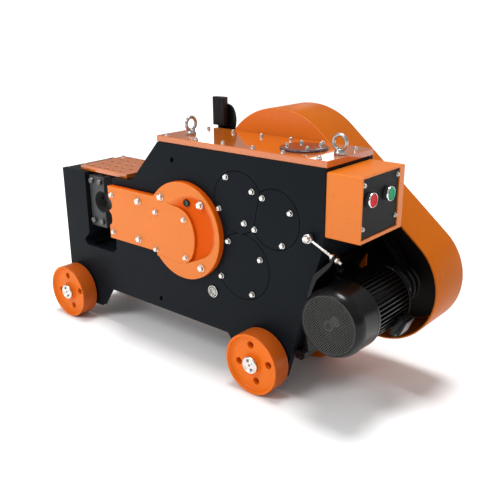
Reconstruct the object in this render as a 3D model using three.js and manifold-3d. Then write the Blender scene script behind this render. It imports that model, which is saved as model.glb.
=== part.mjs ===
// Electric rebar cutter: a geared crank drives a knife slider against a fixed knife inside a heavy plate
// housing. The motor hangs on a tilting base at the right and turns a flywheel through two V-belts behind
// the housing. Millimetres, +Z up, +X from the cutting mouth to the motor, the operator's side faces -Y.
// The dimensions below are in a drawing frame whose X = 0 is the left end of the top cover, Y = 0 the front
// face of the housing and Z = 0 the ground. The exported group moves that frame so that the origin is the
// middle of the machine's footprint.
import * as THREE from "three";
import { mergeVertices } from "three/addons/utils/BufferGeometryUtils.js";
import Module from "manifold-3d";

const wasm = await Module();
wasm.setup();

// ------------------------------------------------------------------ driving dimensions
const GAP = 0.4; // space left between touching pieces

const BODY_L = -418, // left end of the housing
  BODY_R = 522, // right end of the housing under the top cover
  PLATE_T = 18, // front and rear plate thickness
  BODY_D = 191, // housing depth, front face to rear face
  DECK_Z = 448, // top of the low left part
  TOP_Z = 572, // top edge of the tall part
  SILL_Z = 106, // lower edge of the plates between the feet
  FOOT_Z = 39; // underside of the feet

const MOUTH_L = -312, // left wall of the cutting mouth
  MOUTH_R = -190, // right wall of the cutting mouth
  MOUTH_B = 226; // bottom of the mouth in the plates

const COVER_T = 15.6, // top cover thickness
  COVER_Y0 = 3;

const CRANK = [101.4, 355.9], // crankshaft axis (x, z)
  CRANK_COVER_R = 127.8,
  CRANK_COVER_Y = -18, // its front face
  THROW = 22, // crank throw, half the knife stroke
  SLIDER_Z = 355.9;

// Gear train: centre distances are module * (sum of teeth) / 2.
const GEAR_A = { m: 5, pinion: 11, wheel: 34 }; // input shaft to second shaft, 112.5
const GEAR_B = { m: 6, pinion: 18, wheel: 38 }; // second shaft to third shaft, 168
const GEAR_C = { m: 6, pinion: 21, wheel: 44 }; // third shaft to crankshaft, 195
const dist = (g) => (g.m * (g.pinion + g.wheel)) / 2;
const away = (from, toward, d) => {
  const dx = toward[0] - from[0],
    dz = toward[1] - from[1],
    l = Math.hypot(dx, dz);
  return [from[0] + (dx / l) * d, from[1] + (dz / l) * d];
};
const THIRD = away(CRANK, [287.5, 297.9], dist(GEAR_C)); // third shaft axis
const SECOND = away(THIRD, [384.2, 433.8], dist(GEAR_B)); // second shaft axis
const INPUT = away(SECOND, [275, 457.1], dist(GEAR_A)); // input shaft axis
const COVER_R = { input: 75.2, second: 71.4, third: 83.2 }; // bearing covers

const FLY_R = 152, // flywheel pulley, outside
  MOTOR_AX = [580, 249], // motor axis (x, z)
  MOTOR_PULLEY_R = 47,
  BELT_Y = [236, 258]; // belt centre planes
const GUARD_1 = [247, 462, 194], // belt guard, big lobe (x, z, radius)
  GUARD_2 = [561, 266, 143.5], // small lobe
  GUARD_Y0 = 195.4,
  GUARD_Y1 = 340,
  GUARD_T = 5;

const COWL_R = 79.5,
  COWL_Y0 = -60,
  COWL_Y1 = 25,
  MOTOR_R = 66,
  FIN_R = 75.5;

const WHEEL_R = 79,
  WHEEL_W = 51,
  WHEEL_Y = -57.5, // outer face of the front wheels
  WHEEL_X = [-369, 359],
  AXLE_R = 13;

const BOX = { x0: 522.4, x1: 611, y0: 3, y1: 180, z0: 420, z1: 565 }; // control box
const RED = [36, 513],
  GREEN = [110, 512.5]; // push buttons (y, z)

const TENSION_PIVOT = [489, 415]; // tension eyebolt pivot (x, z)

// ------------------------------------------------------------------ materials
const paint = (name, color, roughness = 0.35, metalness = 0.0) =>
  Object.assign(new THREE.MeshStandardMaterial({ color, roughness, metalness }), { name });
const M = {
  slate: paint("slate_paint", 0x363b42, 0.42),
  orange: paint("orange_paint", 0xe8641b, 0.32),
  black: paint("black_paint", 0x16181a, 0.5),
  zinc: paint("zinc_plate", 0xd5d8da, 0.25, 1.0),
  steel: paint("machined_steel", 0x9a9da0, 0.35, 1.0),
  tool: paint("tool_steel", 0x55585c, 0.4, 1.0),
  iron: paint("cast_iron", 0x4b4e52, 0.6, 0.8),
  rubber: paint("belt_rubber", 0x151515, 0.8),
  plastic: paint("black_plastic", 0x1a1b1d, 0.55),
  red: paint("red_button", 0xc81e1e, 0.3),
  green: paint("green_button", 0x12853a, 0.3),
  glass: paint("sight_glass", 0xd8dcd6, 0.15),
};

// ------------------------------------------------------------------ shapes
const TAU = Math.PI * 2;
const shape = (pts) => new THREE.Shape(pts.map((p) => new THREE.Vector2(p[0], p[1])));
const hole = (pts) => new THREE.Path(pts.map((p) => new THREE.Vector2(p[0], p[1])));
const ring = (cx, cy, r, n = 32, a0 = 0) =>
  Array.from({ length: n }, (_, i) => [cx + r * Math.cos(a0 + (TAU * i) / n), cy + r * Math.sin(a0 + (TAU * i) / n)]);
const arc = (cx, cy, r, from, to, n) =>
  Array.from({ length: n + 1 }, (_, i) => {
    const a = from + ((to - from) * i) / n;
    return [cx + r * Math.cos(a), cy + r * Math.sin(a)];
  });
const area = (p) => p.reduce((s, a, i) => s + a[0] * p[(i + 1) % p.length][1] - p[(i + 1) % p.length][0] * a[1], 0) / 2;
const ccw = (p) => (area(p) < 0 ? [...p].reverse() : p);

function slab(pts, depth, holes = []) {
  const s = shape(ccw(pts));
  for (const h of holes) s.holes.push(hole(ccw(h).reverse()));
  return new THREE.ExtrudeGeometry(s, { depth, bevelEnabled: false, curveSegments: 1 });
}
const BASIS_Y = new THREE.Matrix4().makeBasis(new THREE.Vector3(1, 0, 0), new THREE.Vector3(0, 0, 1), new THREE.Vector3(0, -1, 0));
const BASIS_X = new THREE.Matrix4().makeBasis(new THREE.Vector3(0, 1, 0), new THREE.Vector3(0, 0, 1), new THREE.Vector3(1, 0, 0));
// outline in (x, z), between y0 and y1
const alongY = (pts, y0, y1, holes) => slab(pts, y1 - y0, holes).applyMatrix4(BASIS_Y).translate(0, y1, 0);
// outline in (y, z), between x0 and x1
const alongX = (pts, x0, x1, holes) => slab(pts, x1 - x0, holes).applyMatrix4(BASIS_X).translate(x0, 0, 0);
// outline in (x, y), between z0 and z1
const alongZ = (pts, z0, z1, holes) => slab(pts, z1 - z0, holes).translate(0, 0, z0);
const rodY = (c, r, y0, y1, n = 24, a0 = 0) => alongY(ring(c[0], c[1], r, n, a0), y0, y1);
const rodX = (c, r, x0, x1, n = 24) => alongX(ring(c[0], c[1], r, n), x0, x1);
const rodZ = (c, r, z0, z1, n = 24) => alongZ(ring(c[0], c[1], r, n), z0, z1);
const tubeY = (c, r, ri, y0, y1, n = 32) => alongY(ring(c[0], c[1], r, n), y0, y1, [ring(c[0], c[1], ri, n)]);
const block = (x0, x1, y0, y1, z0, z1) =>
  new THREE.BoxGeometry(x1 - x0, y1 - y0, z1 - z0).translate((x0 + x1) / 2, (y0 + y1) / 2, (z0 + z1) / 2);
// turned profile [[radius, along], ...] round an axis parallel to Y through (x, z)
const turnedY = (c, prof, n = 40) => {
  const g = new THREE.LatheGeometry(prof.map((p) => new THREE.Vector2(p[0], p[1])), n);
  return g.translate(0, 0, 0).applyMatrix4(new THREE.Matrix4().makeTranslation(c[0], 0, c[1]));
};

// hull of two circles in (x, z): the outline of a belt or belt guard
function beltHull(a, b, n1 = 28, n2 = 20, grow = 0) {
  const d = Math.hypot(b[0] - a[0], b[1] - a[1]),
    dir = Math.atan2(b[1] - a[1], b[0] - a[0]),
    r1 = a[2] + grow,
    r2 = b[2] + grow,
    t = Math.acos((r1 - r2) / d);
  return [...arc(a[0], a[1], r1, dir + t, dir + TAU - t, n1), ...arc(b[0], b[1], r2, dir - t, dir + t, n2)];
}

// ------------------------------------------------------------------ joins and cuts
function solid(geometry) {
  const g = (geometry.index ? geometry.toNonIndexed() : geometry.clone()).deleteAttribute("normal");
  g.deleteAttribute("uv");
  const m = mergeVertices(g, 1e-3);
  return new wasm.Manifold(
    new wasm.Mesh({ numProp: 3, vertProperties: m.attributes.position.array, triVerts: new Uint32Array(m.index.array) }),
  );
}
const as = (x) => (x.isBufferGeometry ? solid(x) : x);
const join = (...list) => list.map(as).reduce((a, b) => a.add(b));
const cut = (base, ...list) => list.map(as).reduce((a, b) => a.subtract(b), as(base));
const common = (a, b) => as(a).intersect(as(b));
function geometryOf(s) {
  const m = s.getMesh(),
    g = new THREE.BufferGeometry();
  const v = new Float32Array(m.numVert * 3);
  for (let i = 0; i < m.numVert; i++) v.set(m.vertProperties.subarray(i * m.numProp, i * m.numProp + 3), i * 3);
  g.setAttribute("position", new THREE.BufferAttribute(v, 3));
  g.setIndex(new THREE.BufferAttribute(new Uint32Array(m.triVerts), 1));
  g.computeVertexNormals();
  return g;
}

const machine = new THREE.Group();
machine.name = "rebar_cutter";
function add(name, geometry, material, parent = machine) {
  const mesh = new THREE.Mesh(geometry.isBufferGeometry ? geometry : geometryOf(geometry), material);
  mesh.name = name;
  parent.add(mesh);
  return mesh;
}

// ------------------------------------------------------------------ gears
// Straight-toothed gear outline with a tooth centred on angle `phase`; teeth are slightly thin for backlash.
function gearOutline(c, m, z, phase = 0) {
  const rp = (m * z) / 2,
    ra = rp + m * 0.92,
    rf = rp - m * 1.2,
    pitch = TAU / z,
    foot = z < 15 ? 0.27 : 0.31,
    tip = 0.098,
    out = [];
  for (let i = 0; i < z; i++) {
    const a = phase + i * pitch;
    for (const [r, h] of [
      [rf, -foot],
      [ra, -tip],
      [ra, tip],
      [rf, foot],
    ])
      out.push([c[0] + r * Math.cos(a + h * pitch), c[1] + r * Math.sin(a + h * pitch)]);
  }
  return out;
}
// The wheel has a tooth space facing the pinion, the pinion a tooth facing the wheel.
const angle = (from, to) => Math.atan2(to[1] - from[1], to[0] - from[0]);
const meshWheel = (g, wheelC, pinionC) => gearOutline(wheelC, g.m, g.wheel, angle(wheelC, pinionC) + Math.PI / g.wheel);
const meshPinion = (g, pinionC, wheelC) => gearOutline(pinionC, g.m, g.pinion, angle(pinionC, wheelC));

// ------------------------------------------------------------------ housing
const slope = [
  [-112, DECK_Z],
  [4, TOP_Z],
];
const plateOutline = [
  [BODY_L, 58],
  [-400, FOOT_Z],
  [-278, FOOT_Z],
  [-232, SILL_Z],
  [237, SILL_Z],
  [283, FOOT_Z],
  [420, FOOT_Z],
  [436, 95],
  [492, 298],
  [515, 373],
  [BODY_R, 408],
  [BODY_R, TOP_Z],
  slope[1],
  slope[0],
  [MOUTH_R, DECK_Z],
  [MOUTH_R, 240],
  [-205, MOUTH_B],
  [-325, MOUTH_B],
  [-338, 240],
  [MOUTH_L, 266],
  [MOUTH_L, DECK_Z],
  [BODY_L, DECK_Z],
];
// line shared by the input and second bearing covers, which touch along a flat
const chordDir = [SECOND[0] - INPUT[0], SECOND[1] - INPUT[1]],
  chordLen = Math.hypot(...chordDir),
  chordU = [chordDir[0] / chordLen, chordDir[1] / chordLen],
  chordAt = (chordLen ** 2 + COVER_R.input ** 2 - COVER_R.second ** 2) / (2 * chordLen);
function clippedDisc(c, r, n, side) {
  // circle cut flat where it meets its neighbour; side +1 keeps the part before the shared line
  const pts = ring(c[0], c[1], r, n);
  const lim = chordAt;
  const t = (p) => (p[0] - INPUT[0]) * chordU[0] + (p[1] - INPUT[1]) * chordU[1];
  return pts.map((p) => {
    const v = t(p),
      over = side > 0 ? v - (lim - 0.5) : lim + 0.5 - v;
    return over > 0 ? [p[0] - side * over * chordU[0], p[1] - side * over * chordU[1]] : p;
  });
}
const coverInput = clippedDisc(INPUT, COVER_R.input, 40, 1),
  coverSecond = clippedDisc(SECOND, COVER_R.second, 40, -1),
  coverThird = ring(THIRD[0], THIRD[1], COVER_R.third, 40);
const grow = (c, pts, d) =>
  pts.map((p) => {
    const l = Math.hypot(p[0] - c[0], p[1] - c[1]);
    return [p[0] + ((p[0] - c[0]) / l) * d, p[1] + ((p[1] - c[1]) / l) * d];
  });

const axleHoles = WHEEL_X.map((x) => ring(x, WHEEL_R, AXLE_R + 0.4, 16));
let front = solid(
  alongY(plateOutline, 0, PLATE_T, [...axleHoles, ring(CRANK[0], CRANK[1], 60, 40), ring(190, 209, 13.4, 20)]),
);
front = cut(
  front,
  alongY(grow(INPUT, coverInput, 1.1), -1, PLATE_T + 1),
  alongY(grow(SECOND, coverSecond, 1.1), -1, PLATE_T + 1),
  alongY(grow(THIRD, coverThird, 1.1), -1, PLATE_T + 1),
  rodY(TENSION_PIVOT, 6.6, -1, PLATE_T + 1, 16),
);
add("front_plate", front, M.slate);

const REAR_Y0 = BODY_D - PLATE_T;
add(
  "rear_plate",
  cut(
    alongY(plateOutline, REAR_Y0, BODY_D, [
      ...axleHoles,
      ring(CRANK[0], CRANK[1], 34.6, 32),
      ring(INPUT[0], INPUT[1], 20.6, 24),
      ring(SECOND[0], SECOND[1], 20.6, 24),
      ring(THIRD[0], THIRD[1], 24.6, 24),
    ]),
  ),
  M.slate,
);

const IN0 = PLATE_T + GAP,
  IN1 = REAR_Y0 - GAP; // inner faces
// bent plate: end wall, slanted lower end, floor
const wrapOuter = [
  [-34, 112],
  [441.5, 112],
  [489.5, 298],
  [513, 373],
  [520, 410],
  [520, 571],
  [508, 571],
  [508, 412],
  [501.5, 376],
  [478, 302],
  [432.5, 124],
  [-34, 124],
];
add("housing_wrap", alongY(wrapOuter, IN0, IN1), M.slate);
// sloping shoulder between the low deck and the top cover
add(
  "shoulder_plate",
  alongY(
    [
      [-110, 448.6],
      [4.4, 571.4],
      [20, 571.4],
      [-94, 448.6],
    ],
    IN0,
    IN1,
  ),
  M.slate,
);
// cast block: cheek, lower beam, channel of the slider
const castLow = [
  [-416, 112],
  [-416, 447.6],
  [MOUTH_L, 447.6],
  [MOUTH_L, 266],
  [-338, 240],
  [-325, MOUTH_B],
  [-205, MOUTH_B],
  [MOUTH_R, 240],
  [MOUTH_R, 320],
  [-40, 320],
  [-40, 112],
];
let cast = join(
  alongY(castLow, IN0, IN1),
  block(MOUTH_R, -60, IN0, IN1, 392, 447.6),
  block(MOUTH_R, -60, 92, IN1, 319, 393),
);
// chute in the mouth bottom, falling to the front
cast = cut(cast, alongX([[IN0 - 2, 210], [100, MOUTH_B + 0.5], [IN0 - 2, MOUTH_B + 0.5]], -325, -205));
add("cutting_block", cast, M.slate);

// ------------------------------------------------------------------ top covers and guards
add(
  "top_cover",
  alongZ(
    [
      [0, COVER_Y0],
      [BODY_R + 0.5, COVER_Y0],
      [BODY_R + 0.5, BODY_D],
      [0, BODY_D],
    ],
    TOP_Z + GAP,
    TOP_Z + COVER_T,
    [ring(400, 90, 42, 32)],
  ),
  M.orange,
);
const COVER_TOP = TOP_Z + COVER_T;
add("inspection_cover", join(rodZ([400, 90], 56, COVER_TOP + GAP, COVER_TOP + 6, 40), rodZ([400, 90], 41.4, COVER_TOP - 6, COVER_TOP + 1, 32)), M.slate);

function eyeBolt(x, y, faceX) {
  // stem, collar and ring; the ring's plane holds X when faceX is true, else Y
  const z = COVER_TOP + GAP;
  const torus = new THREE.TorusGeometry(16.5, 4.2, 7, 16);
  torus.applyMatrix4(faceX ? new THREE.Matrix4().makeRotationX(Math.PI / 2) : new THREE.Matrix4().makeRotationY(Math.PI / 2));
  torus.translate(x, y, z + 27);
  return join(rodZ([x, y], 13, z, z + 6, 20), rodZ([x, y], 7, z + 5, z + 13, 12), torus);
}
add("eye_bolt_left", eyeBolt(62, 66, false), M.zinc);
add("eye_bolt_right", eyeBolt(503, 80, true), M.zinc);

// perforated tray over the mouth: top sheet with round holes and four folded flanges
const TRAY = { x0: -356, x1: -150, y0: 20, y1: 186, z0: DECK_Z + GAP, z1: 461 };
const trayHoles = [-318, -286.5, -254, -223, -191].flatMap((x) => [37, 72.5, 109, 144, 174].map((y) => [x, y]));
let tray = cut(
  block(TRAY.x0, TRAY.x1, TRAY.y0, TRAY.y1, TRAY.z0, TRAY.z1),
  block(TRAY.x0 + 3, TRAY.x1 - 3, TRAY.y0 + 3, TRAY.y1 - 3, TRAY.z0 - 1, TRAY.z1 - 3),
);
tray = cut(
  tray,
  ...trayHoles.map((c) => rodZ(c, 6.4, TRAY.z1 - 8, TRAY.z1 + 1, 8)),
);
add("perforated_guard", tray, M.orange);

// ------------------------------------------------------------------ front covers
const moat = [
  [62, 430], [84, 440], [106, 449], [134, 457], [160, 459], [186, 447], [203, 426], [214, 400], [219, 370],
  [217, 345], [207, 324], [191, 307], [170, 295], [148, 285], [126, 277], [104, 271],
  [96, 330], [80, 400],
];
const keyhole = [
  [-189, 280], [-189, 317], [-181, 323], [-177.5, 332], [-177.5, 344], [-181, 352], [-187, 356.5],
  [-187, 361], [-178, 366], [-174.5, 373], [-174.5, 383], [-179, 391], [-187, 396],
  [-189, 430], [-2, 431], [28, 428], [54, 421], [84, 417], [108, 410], [122, 400], [133, 386], [141, 366], [144, 345],
  [142, 320], [134, 295], [124, 281], [112, 271], [96, 267], [60, 268], [20, 273], [0, 280],
];
const coverSplitY = -9;
let crankCover = join(
  rodY(CRANK, CRANK_COVER_R, coverSplitY, -GAP, 60),
  cut(
    rodY(CRANK, CRANK_COVER_R, CRANK_COVER_Y, coverSplitY + 1, 60),
    alongY(keyhole.map(([x, z]) => [x + (x > 30 ? 0.6 : 0), z + (z > 350 ? 0.6 : -0.6)]), CRANK_COVER_Y - 1, coverSplitY),
    alongY(moat, CRANK_COVER_Y - 1, coverSplitY),
  ),
  tubeY(CRANK, 59.4, 34.6, -1, 29, 40),
);
crankCover = cut(crankCover, rodY([116, 432], 7, CRANK_COVER_Y, 2, 16));
add("crank_cover", crankCover, M.orange);
add(
  "slider_cover",
  cut(alongY(keyhole, CRANK_COVER_Y, -GAP), rodY(CRANK, CRANK_COVER_R + 0.5, coverSplitY - GAP, 1, 60)),
  M.orange,
);
add("oil_filler_plug", join(rodY([116, 432], 9.5, -16, coverSplitY - GAP, 16), rodY([116, 432], 6.5, coverSplitY - 1, 0, 16)), M.zinc);

function bearingCover(outline, c, r) {
  return join(alongY(outline, 0, PLATE_T), tubeY(c, r + 14, r + 0.6, PLATE_T - 1, PLATE_T + 20, 28));
}
add("bearing_cover_input", bearingCover(coverInput, INPUT, 20), M.slate);
add("bearing_cover_second", bearingCover(coverSecond, SECOND, 20), M.slate);
add("bearing_cover_third", bearingCover(coverThird, THIRD, 24), M.slate);
add(
  "sight_glass",
  join(tubeY([190, 209], 16, 9, -5, -GAP, 24), rodY([190, 209], 11, -2.5, -GAP, 24), rodY([190, 209], 13, -1.5, PLATE_T + 2, 20)),
  M.glass,
);

// ------------------------------------------------------------------ knives and slider
const seatOutline = [
  [MOUTH_L + GAP, 288], [-246, 288], [-246, 334], [-262, 336], [-278, 343], [-288, 354], [-291, 365],
  [-288, 376], [-278, 387], [-262, 394], [-246, 396], [-246, 438], [MOUTH_L + GAP, 438],
];
add("fixed_blade_seat", alongY(seatOutline, 14, 42), M.iron);
add(
  "fixed_blade",
  alongY([[MOUTH_L + GAP, 318], [-250, 318], [-250, 394], [MOUTH_L + GAP, 394]], 42 + GAP, 66, [ring(-285, 356, 9, 16)]),
  M.tool,
);
const PIN_X = CRANK[0] + THROW - 160; // wrist pin at rest, knives open
add(
  "moving_blade",
  alongY([[-206, 321], [-188.4, 321], [-188.4, 391], [-206, 391]], 66.6, 88),
  M.tool,
);
let slider = join(
  block(-188, -66, 30, 88, 322, 390),
  block(-67, PIN_X + 20, 30, 44, 326, 386),
  block(-67, PIN_X + 20, 74, 88, 326, 386),
  rodY([PIN_X, SLIDER_Z], 12, 40, 78, 20),
);
add("slider", slider, M.steel);
const ROD_BIG = 68,
  bigC = [CRANK[0] + THROW, CRANK[1]];
const rodBody = cut(
  join(
    rodY(bigC, ROD_BIG + 15, 46, 72, 44),
    rodY([PIN_X, SLIDER_Z], 23, 46, 72, 24),
    block(PIN_X, bigC[0] - 60, 46, 72, SLIDER_Z - 19, SLIDER_Z + 19),
  ),
  rodY(bigC, ROD_BIG, 45, 73, 44),
  rodY([PIN_X, SLIDER_Z], 12.6, 45, 73, 20),
);
add("connecting_rod", rodBody, M.steel);

// ------------------------------------------------------------------ crankshaft and gear train
add(
  "crankshaft",
  join(
    rodY(CRANK, 34, GAP, 31, 32),
    rodY(CRANK, 45, 30, 44, 32),
    rodY(bigC, 14.3, 43, 75, 20),
    rodY(CRANK, 45, 74, 87, 32),
    rodY(CRANK, 34, 86, BODY_D - 1, 32),
  ),
  M.steel,
);
add("crank_gear", alongY(meshWheel(GEAR_C, CRANK, THIRD), 92, 126, [ring(CRANK[0], CRANK[1], 34 + GAP, 32)]), M.steel);
add(
  "third_shaft",
  join(rodY(THIRD, 24, PLATE_T + GAP, BODY_D - 1, 24), alongY(meshPinion(GEAR_C, THIRD, CRANK), 90, 128)),
  M.steel,
);
add("third_gear", alongY(meshWheel(GEAR_B, THIRD, SECOND), 134, 162, [ring(THIRD[0], THIRD[1], 24 + GAP, 24)]), M.steel);
add(
  "second_shaft",
  join(rodY(SECOND, 20, PLATE_T + GAP, BODY_D - 1, 24), alongY(meshPinion(GEAR_B, SECOND, THIRD), 132, 164)),
  M.steel,
);
add("second_gear", alongY(meshWheel(GEAR_A, SECOND, INPUT), 48, 76, [ring(SECOND[0], SECOND[1], 20 + GAP, 24)]), M.steel);
add(
  "input_shaft",
  join(rodY(INPUT, 20, PLATE_T + GAP, 292, 24), alongY(meshPinion(GEAR_A, INPUT, SECOND), 46, 78)),
  M.steel,
);

// ------------------------------------------------------------------ flywheel, belts, belt guard
const grooves = (r, y, depth) => [
  [r, y - 9], [r - depth, y - 4.5], [r - depth, y + 4.5], [r, y + 9],
];
const flyProfile = [
  [20 + GAP, 208], [42, 208], [42, 240], [124, 240], [124, 214], [FLY_R, 214],
  ...BELT_Y.flatMap((y) => grooves(FLY_R, y, 11)),
  [FLY_R, 280], [124, 280], [124, 254], [42, 254], [42, 286], [20 + GAP, 286], [20 + GAP, 208],
];
add("flywheel_pulley", cut(turnedY(INPUT, flyProfile, 36), ...[0, 1, 2, 3, 4].map((i) => rodY([INPUT[0] + 82 * Math.cos((TAU * i) / 5), INPUT[1] + 82 * Math.sin((TAU * i) / 5)], 22, 238, 256, 10))), M.iron);
const pulleyProfile = [
  [12 + GAP, 222], [MOTOR_PULLEY_R, 222], ...BELT_Y.flatMap((y) => grooves(MOTOR_PULLEY_R, y, 11)), [MOTOR_PULLEY_R, 272], [12 + GAP, 272], [12 + GAP, 222],
];
add("motor_pulley", turnedY(MOTOR_AX, pulleyProfile, 24), M.iron);
const beltIn = [
  [...INPUT, FLY_R - 9.5],
  [...MOTOR_AX, MOTOR_PULLEY_R - 9.5],
];
BELT_Y.forEach((y, i) => {
  add(
    i ? "v_belt_outer" : "v_belt_inner",
    alongY(beltHull(beltIn[0], beltIn[1], 30, 16, 8), y - 4, y + 4, [beltHull(beltIn[0], beltIn[1], 30, 16)]),
    M.rubber,
  );
});

const guardOuter = beltHull(GUARD_1, GUARD_2, 40, 28),
  guardInner = beltHull(GUARD_1, GUARD_2, 40, 28, -GUARD_T);
add(
  "belt_guard_shell",
  cut(alongY(guardOuter, GUARD_Y0, GUARD_Y1), alongY(guardInner, GUARD_Y0 - 1, GUARD_Y1 - GUARD_T)),
  M.orange,
);
// flat front sheet of the guard, bolted to the rear plate
add(
  "belt_guard_front",
  cut(
    common(alongY(guardOuter, BODY_D + GAP, GUARD_Y0 - GAP), block(0, BODY_R - 3, 190, 200, 100, 700)),
    rodY(INPUT, 46, 190, 200, 32),
    rodY(CRANK, 50, 190, 200, 24),
  ),
  M.orange,
);

// ------------------------------------------------------------------ motor
const finOutline = [];
const FINS = 30;
for (let i = 0; i < FINS; i++) {
  const a = (TAU * i) / FINS,
    w = TAU / FINS;
  finOutline.push(
    ...[
      [MOTOR_R, -0.5],
      [MOTOR_R, -0.2],
      [FIN_R, -0.11],
      [FIN_R, 0.11],
      [MOTOR_R, 0.2],
    ]
      .slice(1)
      .map(([r, k]) => [MOTOR_AX[0] + r * Math.cos(a + k * w), MOTOR_AX[1] + r * Math.sin(a + k * w)]),
  );
}
// The motor lies on its side: its feet face the sloping end of the housing, its terminal box faces away.
const LEAN = Math.atan2(203, 56), // slope of the housing's lower end
  U = [Math.cos(LEAN), Math.sin(LEAN)], // up along the slope
  N = [Math.sin(LEAN), -Math.cos(LEAN)]; // away from the housing
const FOOT_H = 84; // motor axis to the underside of the feet
const atMotor = (n, u) => [MOTOR_AX[0] + N[0] * n + U[0] * u, MOTOR_AX[1] + N[1] * n + U[1] * u];
const leaning = (n0, n1, u0, u1, y0, y1) => alongY([atMotor(n0, u0), atMotor(n1, u0), atMotor(n1, u1), atMotor(n0, u1)], y0, y1);
// terminal box on the side away from the housing, turned down a little
const BOX_A = (-28 * Math.PI) / 180;
const atBox = (n, t) => [MOTOR_AX[0] + n * Math.cos(BOX_A) - t * Math.sin(BOX_A), MOTOR_AX[1] + n * Math.sin(BOX_A) + t * Math.cos(BOX_A)];
add(
  "motor_body",
  join(
    alongY(finOutline, 27, 158, [ring(MOTOR_AX[0], MOTOR_AX[1], 40, 24)]),
    leaning(-FOOT_H + GAP, -FOOT_H + 12, 40, 76, 50, 76),
    leaning(-FOOT_H + GAP, -FOOT_H + 12, -76, -40, 50, 76),
    leaning(-FOOT_H + GAP, -FOOT_H + 12, 40, 76, 118, 144),
    leaning(-FOOT_H + GAP, -FOOT_H + 12, -76, -40, 118, 144),
    leaning(-FOOT_H + GAP, -45, 38, 50, 50, 144),
    leaning(-FOOT_H + GAP, -45, -50, -38, 50, 144),
    alongY([atBox(60, -25), atBox(75.7, -25), atBox(75.7, 14), atBox(60, 14)], 119, 147),
  ),
  M.black,
);
add(
  "motor_end_shield",
  turnedY(MOTOR_AX, [[12.6, 160], [60, 158.6], [78, 158.6], [78, 166], [62, 176], [34, 182], [34, 188], [12.6, 188], [12.6, 160]], 40),
  M.black,
);
// fan cowl: cylinder with a rounded shoulder and a pierced front disc
const cowlProfile = [
  [COWL_R - 3, COWL_Y1], [COWL_R - 3, COWL_Y0 + 16], [COWL_R - 9, COWL_Y0 + 5], [COWL_R - 14, COWL_Y0 + 3], [17, COWL_Y0 + 3], [17, COWL_Y0],
  [COWL_R - 12.5, COWL_Y0], [COWL_R - 6, COWL_Y0 + 3], [COWL_R, COWL_Y0 + 14], [COWL_R, COWL_Y1], [COWL_R - 3, COWL_Y1],
];
add("fan_cowl", turnedY(MOTOR_AX, cowlProfile, 40), M.black);
const blades = [];
for (let i = 0; i < 6; i++) {
  const a = (TAU * i) / 6;
  const g = new THREE.BoxGeometry(44, 22, 2.4).translate(38, -20, 0);
  g.applyMatrix4(new THREE.Matrix4().makeRotationY(-a)).translate(MOTOR_AX[0], 0, MOTOR_AX[1]);
  blades.push(g);
}
add("motor_fan", cut(join(tubeY(MOTOR_AX, 20, 12.4, -32, -6, 24), tubeY(MOTOR_AX, 66, 12.4, -12, -8, 32), ...blades), rodY(MOTOR_AX, 12.4, -40, 0, 24)), M.plastic);
add("motor_shaft", join(rodY(MOTOR_AX, 12, -34, 290, 20), rodY(MOTOR_AX, 39, 44, 146, 24)), M.steel);
add("terminal_box", alongY([atBox(76.1, -32), atBox(100, -19), atBox(97.5, 20), atBox(76.1, 20)], 114, 152), M.black);

// ------------------------------------------------------------------ tilting motor base
const HINGE = [465, 113]; // hinge axis (x, z)
const ARM_Y = [-17, -5]; // the arm stands in front of the housing, in the plane of the tension rod
const slopePlate = leaning(-FOOT_H - 8, -FOOT_H, -126, 84, 24, 168);
const knuckleWeb = alongY([atMotor(-FOOT_H - 8, -122), atMotor(-FOOT_H, -122), [473, 116], [465, 105], [456.5, 111]], 24, 168);
const frontEar = leaning(-FOOT_H - 8, -FOOT_H, 6, 56, ARM_Y[0], 25);
const arm = alongY([atMotor(-FOOT_H - 8, 30), atMotor(-FOOT_H, 30), [518, 327], [549, 362], [556.9, 372.9], [551.7, 375.3], [546, 371], [510, 337], atMotor(-FOOT_H - 8, 54)], ARM_Y[0], ARM_Y[1]);

// tension eyebolt: pivots on the front plate, its rod lies in the open fork at the end of the arm
const T_Y = (ARM_Y[0] + ARM_Y[1]) / 2,
  T_ANGLE = -0.43;
const T_DIR = [Math.cos(T_ANGLE), Math.sin(T_ANGLE)];
const T_FRAME = new THREE.Matrix4().makeBasis(
  new THREE.Vector3(-T_DIR[1], 0, T_DIR[0]),
  new THREE.Vector3(T_DIR[0], 0, T_DIR[1]),
  new THREE.Vector3(0, 1, 0),
);
const placeT = (g) => g.applyMatrix4(T_FRAME).translate(TENSION_PIVOT[0], T_Y, TENSION_PIVOT[1]);
const tRod = (r, s0, s1, n = 12) => placeT(new THREE.CylinderGeometry(r, r, s1 - s0, n).translate(0, (s0 + s1) / 2, 0));
const tBlock = (t0, t1, s0, s1, y0, y1) =>
  placeT(new THREE.BoxGeometry(t1 - t0, s1 - s0, y1 - y0).translate((t0 + t1) / 2, (s0 + s1) / 2, (y0 + y1) / 2));
const T_FORK = [73.5, 79.5]; // the fork plate along the rod

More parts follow.
